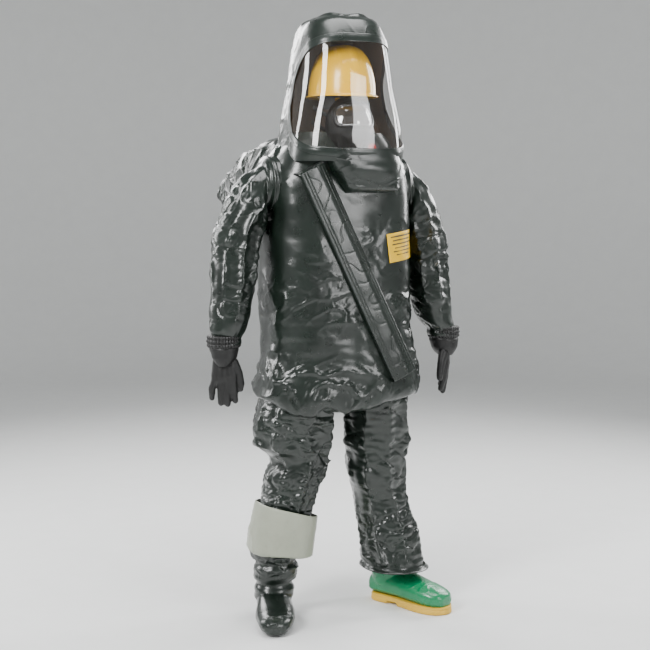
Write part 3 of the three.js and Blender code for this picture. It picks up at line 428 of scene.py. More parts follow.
METAL = material("brushed_metal", (176, 172, 160), rough=0.28, metal=1.0, spread=0.12, grain=0.12,
                 grain_size=0.0008)
PAINT = material("cylinder_paint", (214, 170, 40), rough=0.3, spread=0.1, coat=0.3, grain=0.08, dirt=0.12)
WEBBING = material("webbing", (44, 46, 42), rough=0.75, spread=0.25, grain=0.5, grain_size=0.0012,
                   weave=0.6)
ZIP = material("zip_tape", (26, 28, 27), rough=0.55, spread=0.25, grain=0.35, grain_size=0.001, weave=0.5)


def place(obj, body, *nodes, span=None):
    """Puts a finished piece on its body, or, for a piece between two bodies, bakes where it stands into its
    mesh; and hides what it stands for.
    """
    if isinstance(body, tuple):
        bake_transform(obj)
    else:
        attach(obj, body)
    if nodes:
        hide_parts(*nodes)
    return obj


# ------------------------------------------------------------------ camera, lights and floor
AZIMUTH = math.radians(23)  # the camera stands this far round from straight ahead
CAMERA_DISTANCE, CAMERA_RISE = 4.3, 0.42
SENSOR = 36
VIEW_WIDTH = 2.118  # metres across the picture, at the object
cam_data = bpy.data.cameras.new("camera")
cam = bpy.data.objects.new("camera", cam_data)
scene.collection.objects.link(cam)
scene.camera = cam
target = Vector(at(-28.5, 12, 943))
away = Vector((-math.sin(AZIMUTH), -math.cos(AZIMUTH), 0))
cam.location = target + away * CAMERA_DISTANCE + Vector((0, 0, CAMERA_RISE))
cam.rotation_mode = "QUATERNION"
cam.rotation_quaternion = (target - cam.location).to_track_quat("-Z", "Y")
cam_data.sensor_width = SENSOR
cam_data.lens = SENSOR * (target - cam.location).length / VIEW_WIDTH

floor = [(r, 0.0) for r in (0.001, 1.5, 3, 4.5, 5.5)]
floor += [(5.5 + 2 * math.sin(k * math.pi / 16), 2 - 2 * math.cos(k * math.pi / 16)) for k in range(1, 9)]
floor += [(7.5, 4.0), (7.5, 7.0)]
spin = np.arange(96) / 96 * 2 * math.pi
bowl = np.array([[(r * math.cos(a), r * math.sin(a), z - 0.0005) for a in spin] for r, z in floor])
cyc = mesh_object("studio_floor", bowl.reshape(-1, 3), grid_faces(len(floor), 96))
pale = material("pale_floor", (226, 227, 226), rough=0.8, spread=0.02, grain=0.05)
cyc.data.materials.append(pale)


def area(name, where, look, size, power, colour=(1, 1, 1)):
    data = bpy.data.lights.new(name, "AREA")
    data.shape = "RECTANGLE"
    data.size, data.size_y = size
    data.energy = power
    data.color = colour
    ob = bpy.data.objects.new(name, data)
    ob.location = where
    ob.rotation_mode = "QUATERNION"
    ob.rotation_quaternion = (Vector(look) - Vector(where)).to_track_quat("-Z", "Y")
    scene.collection.objects.link(ob)


def studio(right, out, up):
    """A place so far to the camera's right of the object, towards the camera and up."""
    side = Vector((math.cos(AZIMUTH), -math.sin(AZIMUTH), 0))
    return Vector(at(0, 0, 0)) + side * right + away * out + Vector((0, 0, up))


middle = studio(0, 0, 1.05)
area("key", studio(-2.1, 2.6, 2.9), middle, (1.0, 1.6), 150)
area("fill", studio(2.6, 2.6, 1.8), middle, (0.7, 2.0), 55)
area("top", studio(0.2, 0.4, 3.6), middle, (2.2, 1.4), 90)
area("rim", studio(2.4, -1.4, 2.2), middle, (0.5, 1.8), 60)
area("rim_left", studio(-2.6, -1.0, 1.8), middle, (0.5, 1.8), 45)
for k, spot in enumerate([(-1.6, -2.6, 2.6), (1.8, -2.6, 2.4)]):
    area(f"behind_{k}", studio(*spot), middle, (1.2, 1.2), 60)

WORLD_STRENGTH = 0.3
world = bpy.data.worlds.new("studio")
scene.world = world
world.use_nodes = True
world.node_tree.nodes["Background"].inputs["Color"].default_value = (0.85, 0.87, 0.9, 1)
world.node_tree.nodes["Background"].inputs["Strength"].default_value = WORLD_STRENGTH

# ------------------------------------------------------------------ suit fabric in general
def fold_field(points, seed, size, depth, along=(1, 1, 1)):
    """How far each point moves out: broad soft folds, and crisp creases in patches."""
    p = points * np.array(along)
    patches = np.clip(0.45 + 2.0 * soft_noise(p, size * 2.8, seed + 9), 0, 1)
    sharp = 0.62 * creases(p, size, seed, 0.16) + 0.34 * creases(p, size * 0.52, seed + 2, 0.13)
    return depth * (1.25 * soft_noise(p, size * 2.1, seed + 3) + 0.5 * soft_noise(p, size * 0.9, seed + 5)
                    + patches * sharp)


def dressed(grid, seed, size=0.055, depth=0.0045, along=(1, 1, 1.35), ends=(0.0, 0.0), times=1,
            mask=None):
    """The finer, crumpled version of a closed grid; ends say how much its first and last rows move."""
    g = grid
    for _ in range(times):
        g = finer(finer(g, 0, False), 1, True)
    move = fold_field(g, seed, size, depth, along)
    rows = len(g)
    edge = np.minimum(np.arange(rows) / (rows * 0.06), 1)
    low = ends[0] + (1 - ends[0]) * edge
    high = ends[1] + (1 - ends[1]) * edge[::-1]
    move *= (low * high)[:, None]
    if mask is not None:
        move *= mask(g)
    return g + grid_normals(g) * move[..., None]


def cut_rows(name, grid, cuts, flip):
    """Pieces of one grid between rows, which keep its shading across the cuts."""
    normals = grid_normals(grid) * (-1 if flip else 1)
    made = []
    for k, (a, b) in enumerate(zip(cuts[:-1], cuts[1:])):
        rows, cols = b - a + 1, grid.shape[1]
        made.append(mesh_object(f"{name}_{k}" if len(cuts) > 2 else name, grid[a:b + 1].reshape(-1, 3),
                                grid_faces(rows, cols, True, flip), normals[a:b + 1].reshape(-1, 3),
                                FABRIC))
    return made


def row_near(grid, z):
    return int(np.argmin(np.abs(grid[:, :, 2].mean(1) - z)))


def hemmed(grid, inwards, rise, rows=4, last=True):
    """The grid with its last (or first) edge turned in, so that the cloth shows a thickness."""
    ring = grid[-1] if last else grid[0]
    centre = ring.mean(0)
    extra = []
    for k in range(1, rows + 1):
        t = k / rows
        moved = ring + (centre - ring) * (inwards * t
                                          / np.linalg.norm(ring - centre, axis=1, keepdims=True))
        moved[:, 2] += rise * t ** 1.5
        extra.append(moved)
    extra = np.array(extra)
    return np.concatenate([grid, extra]) if last else np.concatenate([extra[::-1], grid])


# ------------------------------------------------------------------ trunk
TRUNK_SHAPE = 3.1  # the exponent of its section: 2 is an ellipse, more is squarer
TRUNK = [  # from the hem under the waist up to the shoulders, mm
    [2, 6, 712, 226, 150], [2, 6, 704, 244, 160], [4, 6, 712, 262, 170], [6, 6, 742, 272, 176],
         [8, 6, 800, 260, 174],
    [10, 6, 880, 246, 170], [8, 6, 980, 241, 168], [4, 6, 1090, 240, 169], [0, 6, 1200, 238, 170],
    [0, 6, 1310, 234, 170], [0, 6, 1400, 228, 166], [0, 6, 1465, 212, 156], [0, 4, 1520, 180, 138],
    [0, -6, 1560, 146, 112],
]
trunk = to_frame(sweep(TRUNK, 74, 112, n=TRUNK_SHAPE))
planned = trunk.copy()
trunk_inner = to_frame(sweep([[x, y, z, w * 0.93, d * 0.92] for x, y, z, w, d in TRUNK], 20, 40, n=TRUNK_SHAPE))
lift = np.zeros_like(trunk)
high = trunk[-1, :, 2].mean()
lift[..., 2] = -np.clip((high - trunk[..., 2]), 0, 9) * 0.085
trunk = crumple(trunk, lift, trunk_inner, {0: 1.0, 1: 1.0, 72: 1.0, -1: 1.0}, frames=24, seed=4, bend=70)
CLOSURE_FOOT, CLOSURE_TOP = (170, 795), (-150, 1450)  # x and z of the closure's ends, mm
flap_line = [np.array(at(x, -165, z)) for x, z in (CLOSURE_FOOT, CLOSURE_TOP)]


def calm(g):
    """How crumpled the trunk is at each point: little on the chest, the closure, the bib and the label."""
    d = (flap_line[1] - flap_line[0])[[0, 2]]
    length = np.linalg.norm(d)
    rel = g[..., [0, 2]] - flap_line[0][[0, 2]]
    across = np.abs(rel[..., 0] * d[1] - rel[..., 1] * d[0]) / length
    along = (rel @ d) / length
    front = g[..., 1] < OY
    amount = np.interp(g[..., 2], [0.7, 0.8, 0.93, 1.02, 1.1, 1.4, 1.5],
                       [1.2, 1.3, 1.2, 0.9, 0.6, 0.6, 0.9])
    amount = np.where((across < 0.07) & (along > -0.05) & front,
                      amount * np.clip((across - 0.045) / 0.03, 0.05, 1), amount)
    bib = (g[..., 0] > -0.11) & (g[..., 0] < 0.155) & (g[..., 2] > 1.36) & front
    badge = np.hypot((g[..., 0] - 0.168) / 0.075, (g[..., 2] - 1.203) / 0.062)
    amount = np.where(front, amount * np.clip((badge - 0.95) / 0.3, 0.02, 1), amount)
    return np.where(bib, 0.1, amount)


settled = np.interp(np.arange(len(trunk)), [0, 8, 30, 60, 73], [0.9, 1, 0.6, 0.55, 0.8])[:, None, None]
trunk = planned + (trunk - planned) * settled * np.clip(calm(planned), 0, 1)[..., None]
trunk = dressed(trunk, 5, size=0.085, depth=0.009, along=(1, 1, 1.5), ends=(0.3, 0.2), mask=calm)
ragged = np.interp(trunk[..., 2], [0.70, 0.80], [1, 0]) * (soft_noise(trunk, 0.09, 77) * 0.05)
trunk[..., 2] += ragged - 0.03 * np.interp(trunk[..., 2], [0.70, 0.78],
                                           [1, 0]) * np.exp(-(trunk[..., 0]
                                                              / 0.1) ** 2) * np.where(trunk[..., 1] < OY,
                                                                  1, 0.3)
front = (trunk[..., 1] < OY - 0.05) & (np.abs(trunk[..., 0]) < 0.235)
trunk[..., 1] = np.where(front, np.maximum(trunk[..., 1],
                                           OY - 0.1655 - 0.012
                                           * np.clip((calm(trunk) - 0.25) / 0.4, 0, 1)),
                         trunk[..., 1])
trunk = hemmed(trunk, 0.03, 0.03, last=False)
flip = outward_flip(trunk, trunk.mean((0, 1)))
body = cut_rows("trunk_shell", trunk, [0, len(trunk) - 1], flip)[0]
place(body, "torso", "front_panel_right", "front_panel_left", "back_panel")

seat = to_frame(sweep([[0, 4, 660, 20, 30], [0, 4, 664, 120, 84], [0, 4, 684, 214, 134],
                       [0, 4, 730, 244, 158],
                       [0, 4, 800, 236, 154]], 26, 84, n=2.5))
seat = dressed(seat, 8, size=0.06, depth=0.005)
seat_ob = grid_object("seat", seat, FABRIC, flip=outward_flip(seat, seat.mean((0, 1))))
place(seat_ob, "torso", "crotch_gusset")

# ------------------------------------------------------------------ sleeves
WRIST = (388, -24, 895)


def sleeve_sections(s):
    """From the armhole ring down to the wrist; the right arm hangs a little further out."""
    out = 16 if s < 0 else 0
    rows = [
        (241.6, 10, 1400, 80, 82, 90), (264, 10, 1351, 87, 98, 62), (291, 9, 1300, 86, 106, 36),
        (316, 6, 1235, 83, 104, 14), (328, 2, 1165, 80, 98, 5), (334, -6, 1095, 77, 92, 2),
        (342, -14, 1030, 73, 82, 0), (352, -20, 970, 67, 72, 0), (366, -23, 928, 62, 63, 0),
        (384, -24, 899, 50, 50, 0),
    ]
    made = []
    for k, (x, y, z, w, d, lean) in enumerate(rows):
        share = min(1, k / 3) * min(1, (len(rows) - 1 - k) / 2)
        made.append([s * (x + out * share), y, z, w, d, -s * lean])
    return made


for s, name in ((-1, "right"), (1, "left")):
    arm = to_frame(sweep(sleeve_sections(s), 66, 60, n=2.1))
    inner = to_frame(sweep([[x, y, z, w * 0.84, d * 0.84, l] for x, y, z, w, d, l in sleeve_sections(s)],
                           24, 24, n=2.1))
    lift = np.zeros_like(arm)
    lift[..., 2] = -np.clip(arm[0, :, 2].mean() - arm[..., 2], 0, 9) * 0.09
    arm = crumple(arm, lift, inner, {0: 1.0, 1: 1.0, -2: 1.0, -1: 1.0}, frames=22, seed=11 + s, bend=45)
    arm = dressed(arm, 21 + s, size=0.075, depth=0.008, along=(0.9, 0.9, 1.5), ends=(0.1, 0.15))
    flip = outward_flip(arm, arm.mean((0, 1)))
    top, low = row_near(arm, 1.205), row_near(arm, 1.025)
    upper, elbow, fore = cut_rows(f"sleeve_{name}", arm, [0, top, low, len(arm) - 1], flip)
    upper.name, elbow.name, fore.name = (f"upper_sleeve_{name}_cloth", f"elbow_folds_{name}",
                                         f"lower_sleeve_{name}_cloth")
    place(upper, f"upper_arm_{name}", f"upper_sleeve_{name}")
    place(elbow, (f"upper_arm_{name}", f"forearm_{name}"), f"elbow_gusset_{name}",
          span=((s * 0.362, OY - 0.035, 1.20), (s * 0.362, OY - 0.035, 1.03)))
    place(fore, f"forearm_{name}", f"lower_sleeve_{name}")

    # The armhole band: from inside the trunk's side out to the ring that the sleeve turns on.
    ring = arm[0]
    rows = 22
    ring_centre = ring.mean(0)
    start = ring_centre + (ring - ring_centre) * np.array([1, 1.32, 1.3]) + np.array([-s * 0.056, 0,
        -0.018])
    band = np.array([start + (ring - start) * (k / (rows - 1)) for k in range(rows)])
    t = np.linspace(0, 1, rows)[:, None]
    push = 0.007 * np.exp(-((t - 0.86) / 0.06) ** 2) + 0.004 * np.exp(-((t - 0.7) / 0.04) ** 2)
    radial = (ring - ring_centre) / np.linalg.norm(ring - ring_centre, axis=1, keepdims=True)
    band = band + push[..., None] * radial[None]
    band += radial[None] * (fold_field(band, 31 + s, 0.04, 0.004) * np.sin(np.pi * t))[..., None]
    band_ob = grid_object(f"armhole_{name}_cloth", band, FABRIC,
                          flip=outward_flip(band, band.mean((0, 1))))
    place(band_ob, ("torso", f"sleeve_head_{name}"), f"armhole_band_{name}",
          span=((s * 0.205, OY + 0.01, 1.4), (s * 0.238, OY + 0.01, 1.4)))

    # Gathered elastic at the wrist.
    rows, cols = 26, 224
    u = np.arange(cols) / cols * 2 * np.pi
    v = np.linspace(0, 1, rows)
    centre = at(s * WRIST[0], WRIST[1], 0)
    gathers = np.abs(np.sin(u * 15 + 0.6 * np.sin(u * 3))) ** 0.7
    radius = (0.0475 + 0.003 * np.sin(v * np.pi * 3)[:, None] ** 2 + 0.005 * gathers[None]
              * (0.5 + 0.5 * np.sin(v * np.pi))[:, None])
    radius *= (1 - 0.25 * (v[:, None] < 0.03))
    z = 0.930 - 0.040 * v
    band = np.stack([centre[0] + radius * np.sin(u), centre[1] - radius * np.cos(u),
                     z[:, None] + 0 * radius], 2)
    band = hemmed(band, 0.006, 0.003)
    cuff = grid_object(f"wrist_band_{name}", band, RUBBER, flip=outward_flip(band, band.mean((0, 1))))
    place(cuff, (f"forearm_{name}", f"glove_{name}"), f"wrist_cuff_{name}",
          span=((s * 0.388, OY - 0.024, 0.920), (s * 0.388, OY - 0.024, 0.892)))


# ------------------------------------------------------------------ gloves
def linked(name, bm):
    """A new object from bm, which is freed."""
    me = bpy.data.meshes.new(name)
    bm.to_mesh(me)
    bm.free()
    ob = bpy.data.objects.new(name, me)
    scene.collection.objects.link(ob)
    return ob


def skinned(ob, mat, voxel, smooth):
    """The object remeshed to one even skin, softened, in one material."""
    mod = ob.modifiers.new("skin", "REMESH")
    mod.mode = "VOXEL"
    mod.voxel_size = voxel
    soft = ob.modifiers.new("soft", "SMOOTH")
    soft.factor, soft.iterations = 0.5, smooth
    apply_modifiers(ob)
    for p in ob.data.polygons:
        p.use_smooth = True
    ob.data.materials.clear()
    ob.data.materials.append(mat)
    return ob


def blob(parts, name, mat, voxel=0.0035, smooth=6):
    """One closed skin round capsules given as lists of (point, radius, flatten) in the frame."""
    bm = bmesh.new()
    for chain in parts:
        for (p, r, squash_axis), (q, r2, squash2) in zip(chain[:-1], chain[1:]):
            steps = max(2, int(np.linalg.norm(np.array(q) - p) / (min(r, r2) * 0.35)))
            for k in range(steps + 1):
                t = k / steps
                c = np.array(p) * (1 - t) + np.array(q) * t
                rr = r * (1 - t) + r2 * t
                scale = np.array(squash_axis) * (1 - t) + np.array(squash2) * t
                m = Matrix.Translation(c) @ Matrix.Diagonal((rr * scale[0], rr * scale[1], rr * scale[2],
                                                             1))
                bmesh.ops.create_icosphere(bm, subdivisions=2, radius=1.0, matrix=m)
    return skinned(linked(name, bm), mat, voxel, smooth)


def push_out(ob, field):
    """Moves each vertex along its normal by what field gives for all the points."""
    n = len(ob.data.vertices)
    co, no = np.zeros(n * 3), np.zeros(n * 3)
    ob.data.vertices.foreach_get("co", co)
    ob.data.vertex_normals.foreach_get("vector", no)
    co, no = co.reshape(-1, 3), no.reshape(-1, 3)
    ob.data.vertices.foreach_set("co", (co + no * field(co)[:, None]).reshape(-1))
    ob.data.update()


for s, name in ((-1, "right"), (1, "left")):
    turn = math.radians(62 if s < 0 else 30) * s
    base = np.array([s * 390, -32, 0])

    def hand(side, out, z):
        """side runs across the knuckles towards the thumb, out from the palm to the back of the hand."""
        a = np.array([-s * math.sin(abs(turn)), -math.cos(turn), 0])
        b = np.array([s * math.cos(turn), -math.sin(abs(turn)), 0])
        return at(*(base + a * side + b * out + np.array([0, 0, z])))

    round_ = (1, 1, 1)
    chains = []
    palm = [(-26, 0), (-9, 2), (9, 2), (26, 0)]
    for k, (side, out) in enumerate(palm):
        chains.append([(hand(side * 0.55, 0, 878), 0.020, round_),
                       (hand(side * 0.75, 0, 850), 0.0165, round_),
                       (hand(side, out, 802), 0.0165, round_),
                       (hand(side * 1.05, out, 786), 0.0135, round_)])
        drop = [62, 76, 80, 70][k]
        spread = [1.45, 1.15, 0.95, 1.1][k] if s < 0 else [1.1, 1.05, 1.0, 1.0][k]
        curl = [10, 5, 5, 8][k]
        chains.append([(hand(side * 1.05, out, 790), 0.0130, round_),
                       (hand(side * 1.05 * spread, out - curl * 0.3, 790 - drop * 0.45), 0.0118, round_),
                       (hand(side * 1.08 * spread * 1.05, out - curl * 1.6, 790 - drop), 0.0098, round_)])
    chains.append([(hand(30, -4, 842), 0.0165, round_), (hand(44, -10, 810), 0.0145, round_),
                   (hand(50, -14, 778), 0.0122, round_), (hand(48, -15, 758), 0.0102, round_)])
    glove = blob(chains, f"glove_{name}_skin", RUBBER, voxel=0.003, smooth=5)
    push_out(glove, lambda p: fold_field(p, 41 + s, 0.022, 0.0012))
    place(glove, f"glove_{name}", f"glove_{name}")
    gaunt = []
    for k, (z, w, d) in enumerate([(904, 44, 44), (892, 47, 48), (884, 49, 50),
                                       (872, 46, 48),
                                       (858, 42, 46), (846, 34, 41), (838, 26, 36),
                                       (832, 18, 30)]):
        gaunt.append([s * WRIST[0], WRIST[1] - k * 1.2, z, w, d])
    g = to_frame(sweep(gaunt, 30, 72, n=2.1))
    angle = turn * 0.7
    mid = g.mean(1, keepdims=True)
    rot = np.array([[math.cos(angle), -math.sin(angle), 0], [math.sin(angle), math.cos(angle), 0],
                    [0, 0, 1]])
    amount = np.linspace(0, 1, 30)[:, None, None]
    g = (g - mid) * (1 - amount) + ((g - mid) @ rot.T) * amount + mid
    g += grid_normals(g) * fold_field(g, 45 + s, 0.03, 0.0016)[..., None]
    ob = grid_object(f"gauntlet_{name}", g, RUBBER, flip=outward_flip(g, g.mean((0, 1))))
    place(ob, f"glove_{name}")

# ------------------------------------------------------------------ legs
LEGS = {
    "right": [[-134, 0, 806, 96, 118], [-136, 0, 730, 112, 140], [-140, 0, 660, 126, 138],
              [-144, 0, 600, 134, 132],
              [-143, 0, 556, 136, 128], [-128, 0, 524, 108, 112], [-122, 0, 494, 106, 108],
              [-138, 0, 466, 104, 106],
              [-152, 0, 430, 96, 102], [-164, -2, 388, 95, 100], [-176, -3, 330, 94, 98],
              [-190, -4, 262, 93, 96],
              [-200, -4, 218, 90, 94]],
    "left": [[136, 0, 806, 94, 118], [138, 0, 730, 104, 138], [143, 0, 660, 107, 134],
             [148, 0, 600, 108, 126],
             [153, 0, 556, 114, 120], [152, 0, 520, 102, 112], [152, 0, 490, 98, 108],
             [155, 0, 450, 104, 106],
             [160, 0, 400, 99, 104], [170, -1, 350, 101, 104], [180, -4, 290, 103, 106],
             [190, -10, 230, 105, 111],
             [200, -18, 170, 108, 117], [208, -24, 128, 110, 121]],
}
for s, name in ((-1, "right"), (1, "left")):
    sections = LEGS[name]
    leg = to_frame(sweep(sections, 100, 64, n=2.3))
    core = to_frame(sweep([[x, y, z, w * 0.86, d * 0.86] for x, y, z, w, d in sections], 30, 28, n=2.3))
    lift = np.zeros_like(leg)
    lift[..., 2] = -np.clip(leg[0, :, 2].mean() - leg[..., 2], 0, 9) * 0.075
    leg = crumple(leg, lift, core, {0: 1.0, 1: 1.0, -2: 1.0, -1: 1.0}, frames=24, seed=51 + s, bend=45)
    leg = dressed(leg, 61 + s, size=0.08, depth=0.009, along=(0.9, 0.9, 1.4), ends=(0.2, 0.25))
    leg = hemmed(leg, 0.012, 0.012)
    flip = outward_flip(leg, leg.mean((0, 1)))
    cuts = [0] + [row_near(leg[:-5], z) for z in (0.60, 0.385)] + [len(leg) - 1]
    hip, knee, shin = cut_rows(f"leg_{name}", leg, cuts, flip)
    hip.name, knee.name, shin.name = f"thigh_{name}_cloth", f"knee_folds_{name}", f"shin_{name}_cloth"
    x = at(s * 128, 0, 0)[0]
    place(hip, ("torso", f"thigh_{name}"), f"thigh_{name}", f"hip_gusset_{name}",
          span=((x, OY - 0.02, 0.765), (x, OY - 0.02, 0.625)))
    place(knee, (f"thigh_{name}", f"shin_{name}"), f"knee_gusset_{name}",
          span=((s * 0.158, OY, 0.575), (s * 0.158, OY, 0.405)))
    if s > 0:
        place(shin, "shin_left", "shin_left", "guard_left")
    else:
        place(shin, "shin_right", "shin_right")

# The splash guard on the right leg, turned up so that its pale lining shows.
turned = to_frame(sweep([[-203, -4, 222, 93, 97, -2], [-201, -4, 216, 100, 103, 6],
                         [-197, -4, 222, 107, 109, 10],
                         [-190, -3, 262, 107, 109, 12], [-182, -3, 306, 104, 108, 14],
                         [-172, -3, 350, 101, 107, 15],
                         [-171, -3, 354, 98, 104, 15]], 56, 132, n=2.3))
turned += grid_normals(turned) * fold_field(turned, 71, 0.09, 0.007, (1, 1, 0.45))[..., None]
cuff_ob = grid_object("turned_up_guard", turned, LINING, flip=outward_flip(turned, turned.mean((0, 1))))
place(cuff_ob, "shin_right", "cuff_right")

# ------------------------------------------------------------------ feet
FOOT = {"right": (-212, -20, 0.0), "left": (212, 25, 24.0)}


def foot_point(name, x, y, z):
    """A point given from a foot's heel-to-toe line, in the frame."""
    fx, turn, lift = FOOT[name]
    a = math.radians(turn)
    return at(fx + x * math.cos(a) - y * math.sin(a), x * math.sin(a) + y * math.cos(a), z + lift)


def foot_grid(name, stations, rows, around, n=2.4):
    """A closed foot from heel to toe: stations [y, z, halfwide, halftall]."""
    v = catmull(np.array(stations, float), np.linspace(0, len(stations) - 1, rows))
    u = np.arange(around) / around
    grid = np.zeros((rows, around, 3))
    for r, (y, z, w, h) in enumerate(v):
        a = arc_table(n, h / w)(u) if r % 6 == 0 else a
        x = w * bent(np.sin(a), 2 / n)
        zz = -h * bent(np.cos(a), 2 / n)
        grid[r] = [foot_point(name, x[i], y, max(z + zz[i], 1.0)) for i in range(around)]
    return grid


def facing_front(grid):
    """True if an open grid's faces point backwards and have to be turned to the front."""
    return float(grid_normals(grid, False)[..., 1].sum()) > 0


def capped(grid):
    """Vertices and faces of a grid closed at both ends."""
    rows, cols = grid.shape[:2]
    verts = list(grid.reshape(-1, 3)) + [grid[0].mean(0), grid[-1].mean(0)]
    faces = grid_faces(rows, cols)
    for c in range(cols):
        faces.append([(c + 1) % cols, c, rows * cols])
        faces.append([(rows - 1) * cols + c, (rows - 1) * cols + (c + 1) % cols, rows * cols + 1])
    return verts, faces


def solid(name, grids):
    """An object made of grids closed at both ends, with its faces turned outwards."""
    bm = bmesh.new()
    for g in grids:
        verts, faces = capped(g)
        made = [bm.verts.new(v) for v in verts]
        for f in faces:
            bm.faces.new([made[i] for i in f])
    bmesh.ops.recalc_face_normals(bm, faces=bm.faces[:])
    return linked(name, bm)


def hard(name, grid, mat, angle):
    """A closed hard part, smooth except at edges sharper than angle in degrees."""
    ob = solid(name, [grid])
    ob.data.materials.append(mat)
    for p in ob.data.polygons:
        p.use_smooth = True
    ob.data.set_sharp_from_angle(angle=math.radians(angle))
    return ob


def welded(name, grids, mat, voxel, smooth):
    """One skin round several closed grids."""
    return skinned(solid(name, grids), mat, voxel, smooth)


SOCK = [[66, 44, 22, 22], [54, 44, 44, 36], [20, 48, 52, 44], [-60, 46, 56, 42], [-130, 38, 58, 36],
        [-190, 32, 52, 29], [-222, 28, 36, 22], [-234, 26, 16, 12]]
neck = []
for k in range(34):
    t = k / 33
    z = 60 + 165 * t
    swell = 5 * math.sin(t * 15) + 3 * math.sin(t * 31 + 1)
    w, d = 60 + 10 * t + swell, 66 + 8 * t + swell
    a = np.arange(64) / 64 * 2 * math.pi
    neck.append([foot_point("right", w * math.sin(v), 8 - d * math.cos(v), z) for v in a])
sock = welded("sock_boot_right", [foot_grid("right", SOCK, 60, 40), np.array(neck)], FABRIC, 0.0036, 8)
push_out(sock, lambda p: fold_field(p, 81, 0.06, 0.0085, (0.8, 0.8, 1.7)) * np.clip(p[:, 2] / 0.03, 0, 1))
co = np.array([v.co for v in sock.data.vertices])
sock.data.vertices.foreach_set("co", np.stack([co[:, 0], co[:, 1], np.maximum(co[:, 2], 0.001)],
                                              1).reshape(-1))
sock.data.update()
place(sock, ("shin_right", "foot_right"), "sock_leg_right", "sock_gusset_right", "sock_foot_right",
      span=((-0.212, OY + 0.01, 0.165), (-0.212, OY + 0.01, 0.10)))

BOOT = [[72, 34, 26, 22], [62, 36, 46, 34], [24, 46, 52, 46], [-50, 44, 55, 42], [-124, 34, 57, 36],
        [-180, 26, 54, 31], [-214, 22, 42, 25], [-229, 19, 22, 16]]
shaft = []
for k in range(26):
    t = k / 25
    z = 40 + 116 * t
    w, d = 57 + 14 * t, 63 + 12 * t
    a = np.arange(56) / 56 * 2 * math.pi
    shaft.append([foot_point("left", w * math.sin(v), 8 - 5 * t - d * math.cos(v), z) for v in a])
boot = welded("work_boot", [foot_grid("left", BOOT, 56, 40), np.array(shaft)], GREEN, 0.0032, 6)


def boot_detail(p):
    """A toe cap, a foxing band round the foot and small creases at the ankle."""
    a = math.radians(25)
    rel = p - at(212, 0, 0)
    y = -rel[:, 0] * math.sin(a) + rel[:, 1] * math.cos(a)
    z = p[:, 2]
    cap = 0.0022 * np.clip((-0.150 - y) / 0.004, 0, 1) * (z > 0.03)
    band = 0.0026 * (1 / (1 + np.exp((z - 0.046) / 0.0008)))
    rib = 0.0012 * (np.sin(y * 330) > 0.2) * (z < 0.045) * (y < -0.15)
    crease = fold_field(p, 91, 0.045, 0.0022, (1, 1, 2)) * np.clip((z - 0.055) / 0.03, 0, 1)
    return np.maximum(cap, band) + rib + crease


push_out(boot, boot_detail)
place(boot, "foot_left", "boot_upper", "sock_foot_left", "sock_gusset_left", "sock_leg_left")


def sole_outline(grow):
    """The sole's edge from above, in mm from the heel-to-toe line."""
    points = [(0, 66), (26, 62), (43, 48), (48, 20), (45, -30), (48, -80), (56, -130), (56, -176),
              (44, -212),
              (20, -232), (0, -237)]
    full = points + [(-x, y) for x, y in points[-2:0:-1]]
    ring = catmull(np.array(full + full[:4], float), np.linspace(1, len(full) + 1, 181))[:-1]
    middle = ring.mean(0)
    d = ring - middle
    return middle + d * (1 + grow / np.linalg.norm(d, axis=1, keepdims=True))


sole_rows = [(-60, 25.0), (-1.5, 25.6), (1.5, 24.6), (2.6, 22.0), (2.9, 19), (1.6, 17.6), (2.9, 16.2),
             (2.9, 5), (2.0, 1.4),
             (0, 0.3), (-14, 0.3)]
ring_rows = []
for grow, z in sole_rows:
    ring = sole_outline(grow)
    lugs = 1.3 * (np.sin(np.arange(180) * 0.72) > 0) * (1.5 < z < 15)
    c = ring.mean(0)
    d = ring - c
    ring = c + d * (1 + lugs[:, None] / np.linalg.norm(d, axis=1, keepdims=True))
    arch = np.where((ring[:, 1] < -14) & (ring[:, 1] > -62) & (z < 10), 11.5, 0)
    lift = FOOT["left"][2]
    ring_rows.append([foot_point("left", x, y, max(z, a) - lift) for (x, y), a in zip(ring, arch)])
sole = hard("boot_tread", np.array(ring_rows), SOLE, 40)
place(sole, "foot_left", "boot_sole")

# ------------------------------------------------------------------ hood
HOOD_SHAPE = 2.7  # the exponent of its section
HOOD = [  # z, half width, half depth, middle y
    (1468, 186, 170, -44), (1500, 188, 176, -48), (1560, 181, 174, -48), (1620, 170, 170, -47),
    (1700, 155, 163, -45), (1770, 146, 156, -42), (1830, 138, 148, -38), (1868, 129, 138, -34),
    (1897, 116, 126, -30), (1914, 98, 108, -32), (1924, 70, 80, -38), (1928, 42, 48, -44),
        (1929, 14, 16, -48),
]
hood_fine = catmull(np.array(HOOD, float), np.linspace(0, len(HOOD) - 1, 400))
fine_run = np.concatenate([[0], np.cumsum(np.hypot(np.diff(hood_fine[:, 0]), np.diff(hood_fine[:, 1])))])
arc_mean = arc_table(HOOD_SHAPE, 1.0)


def hood_at(turn, run, out=0.0):
    """Points on the hood's form: turn from 0 to 1 round it from the front, run from 0 at its foot to 1."""
    s = np.asarray(run) * fine_run[-1]
    z, w, d, y = (np.interp(s, fine_run, hood_fine[:, k]) for k in range(4))
    a = arc_mean(turn)
    power = 2 / HOOD_SHAPE
    x = (w + out) * bent(np.sin(a), power)
    yy = y - (d + out) * bent(np.cos(a), power)
    return np.stack([x / 1000, yy / 1000 + OY, z / 1000], -1)


def run_of(z):
    """How far up the hood's side a height in mm is, from 0 to 1."""
    return np.interp(z, hood_fine[:, 0], fine_run / fine_run[-1])


VISOR_LOW, VISOR_TOP, VISOR_HALF = 1494, 1846, 0.272


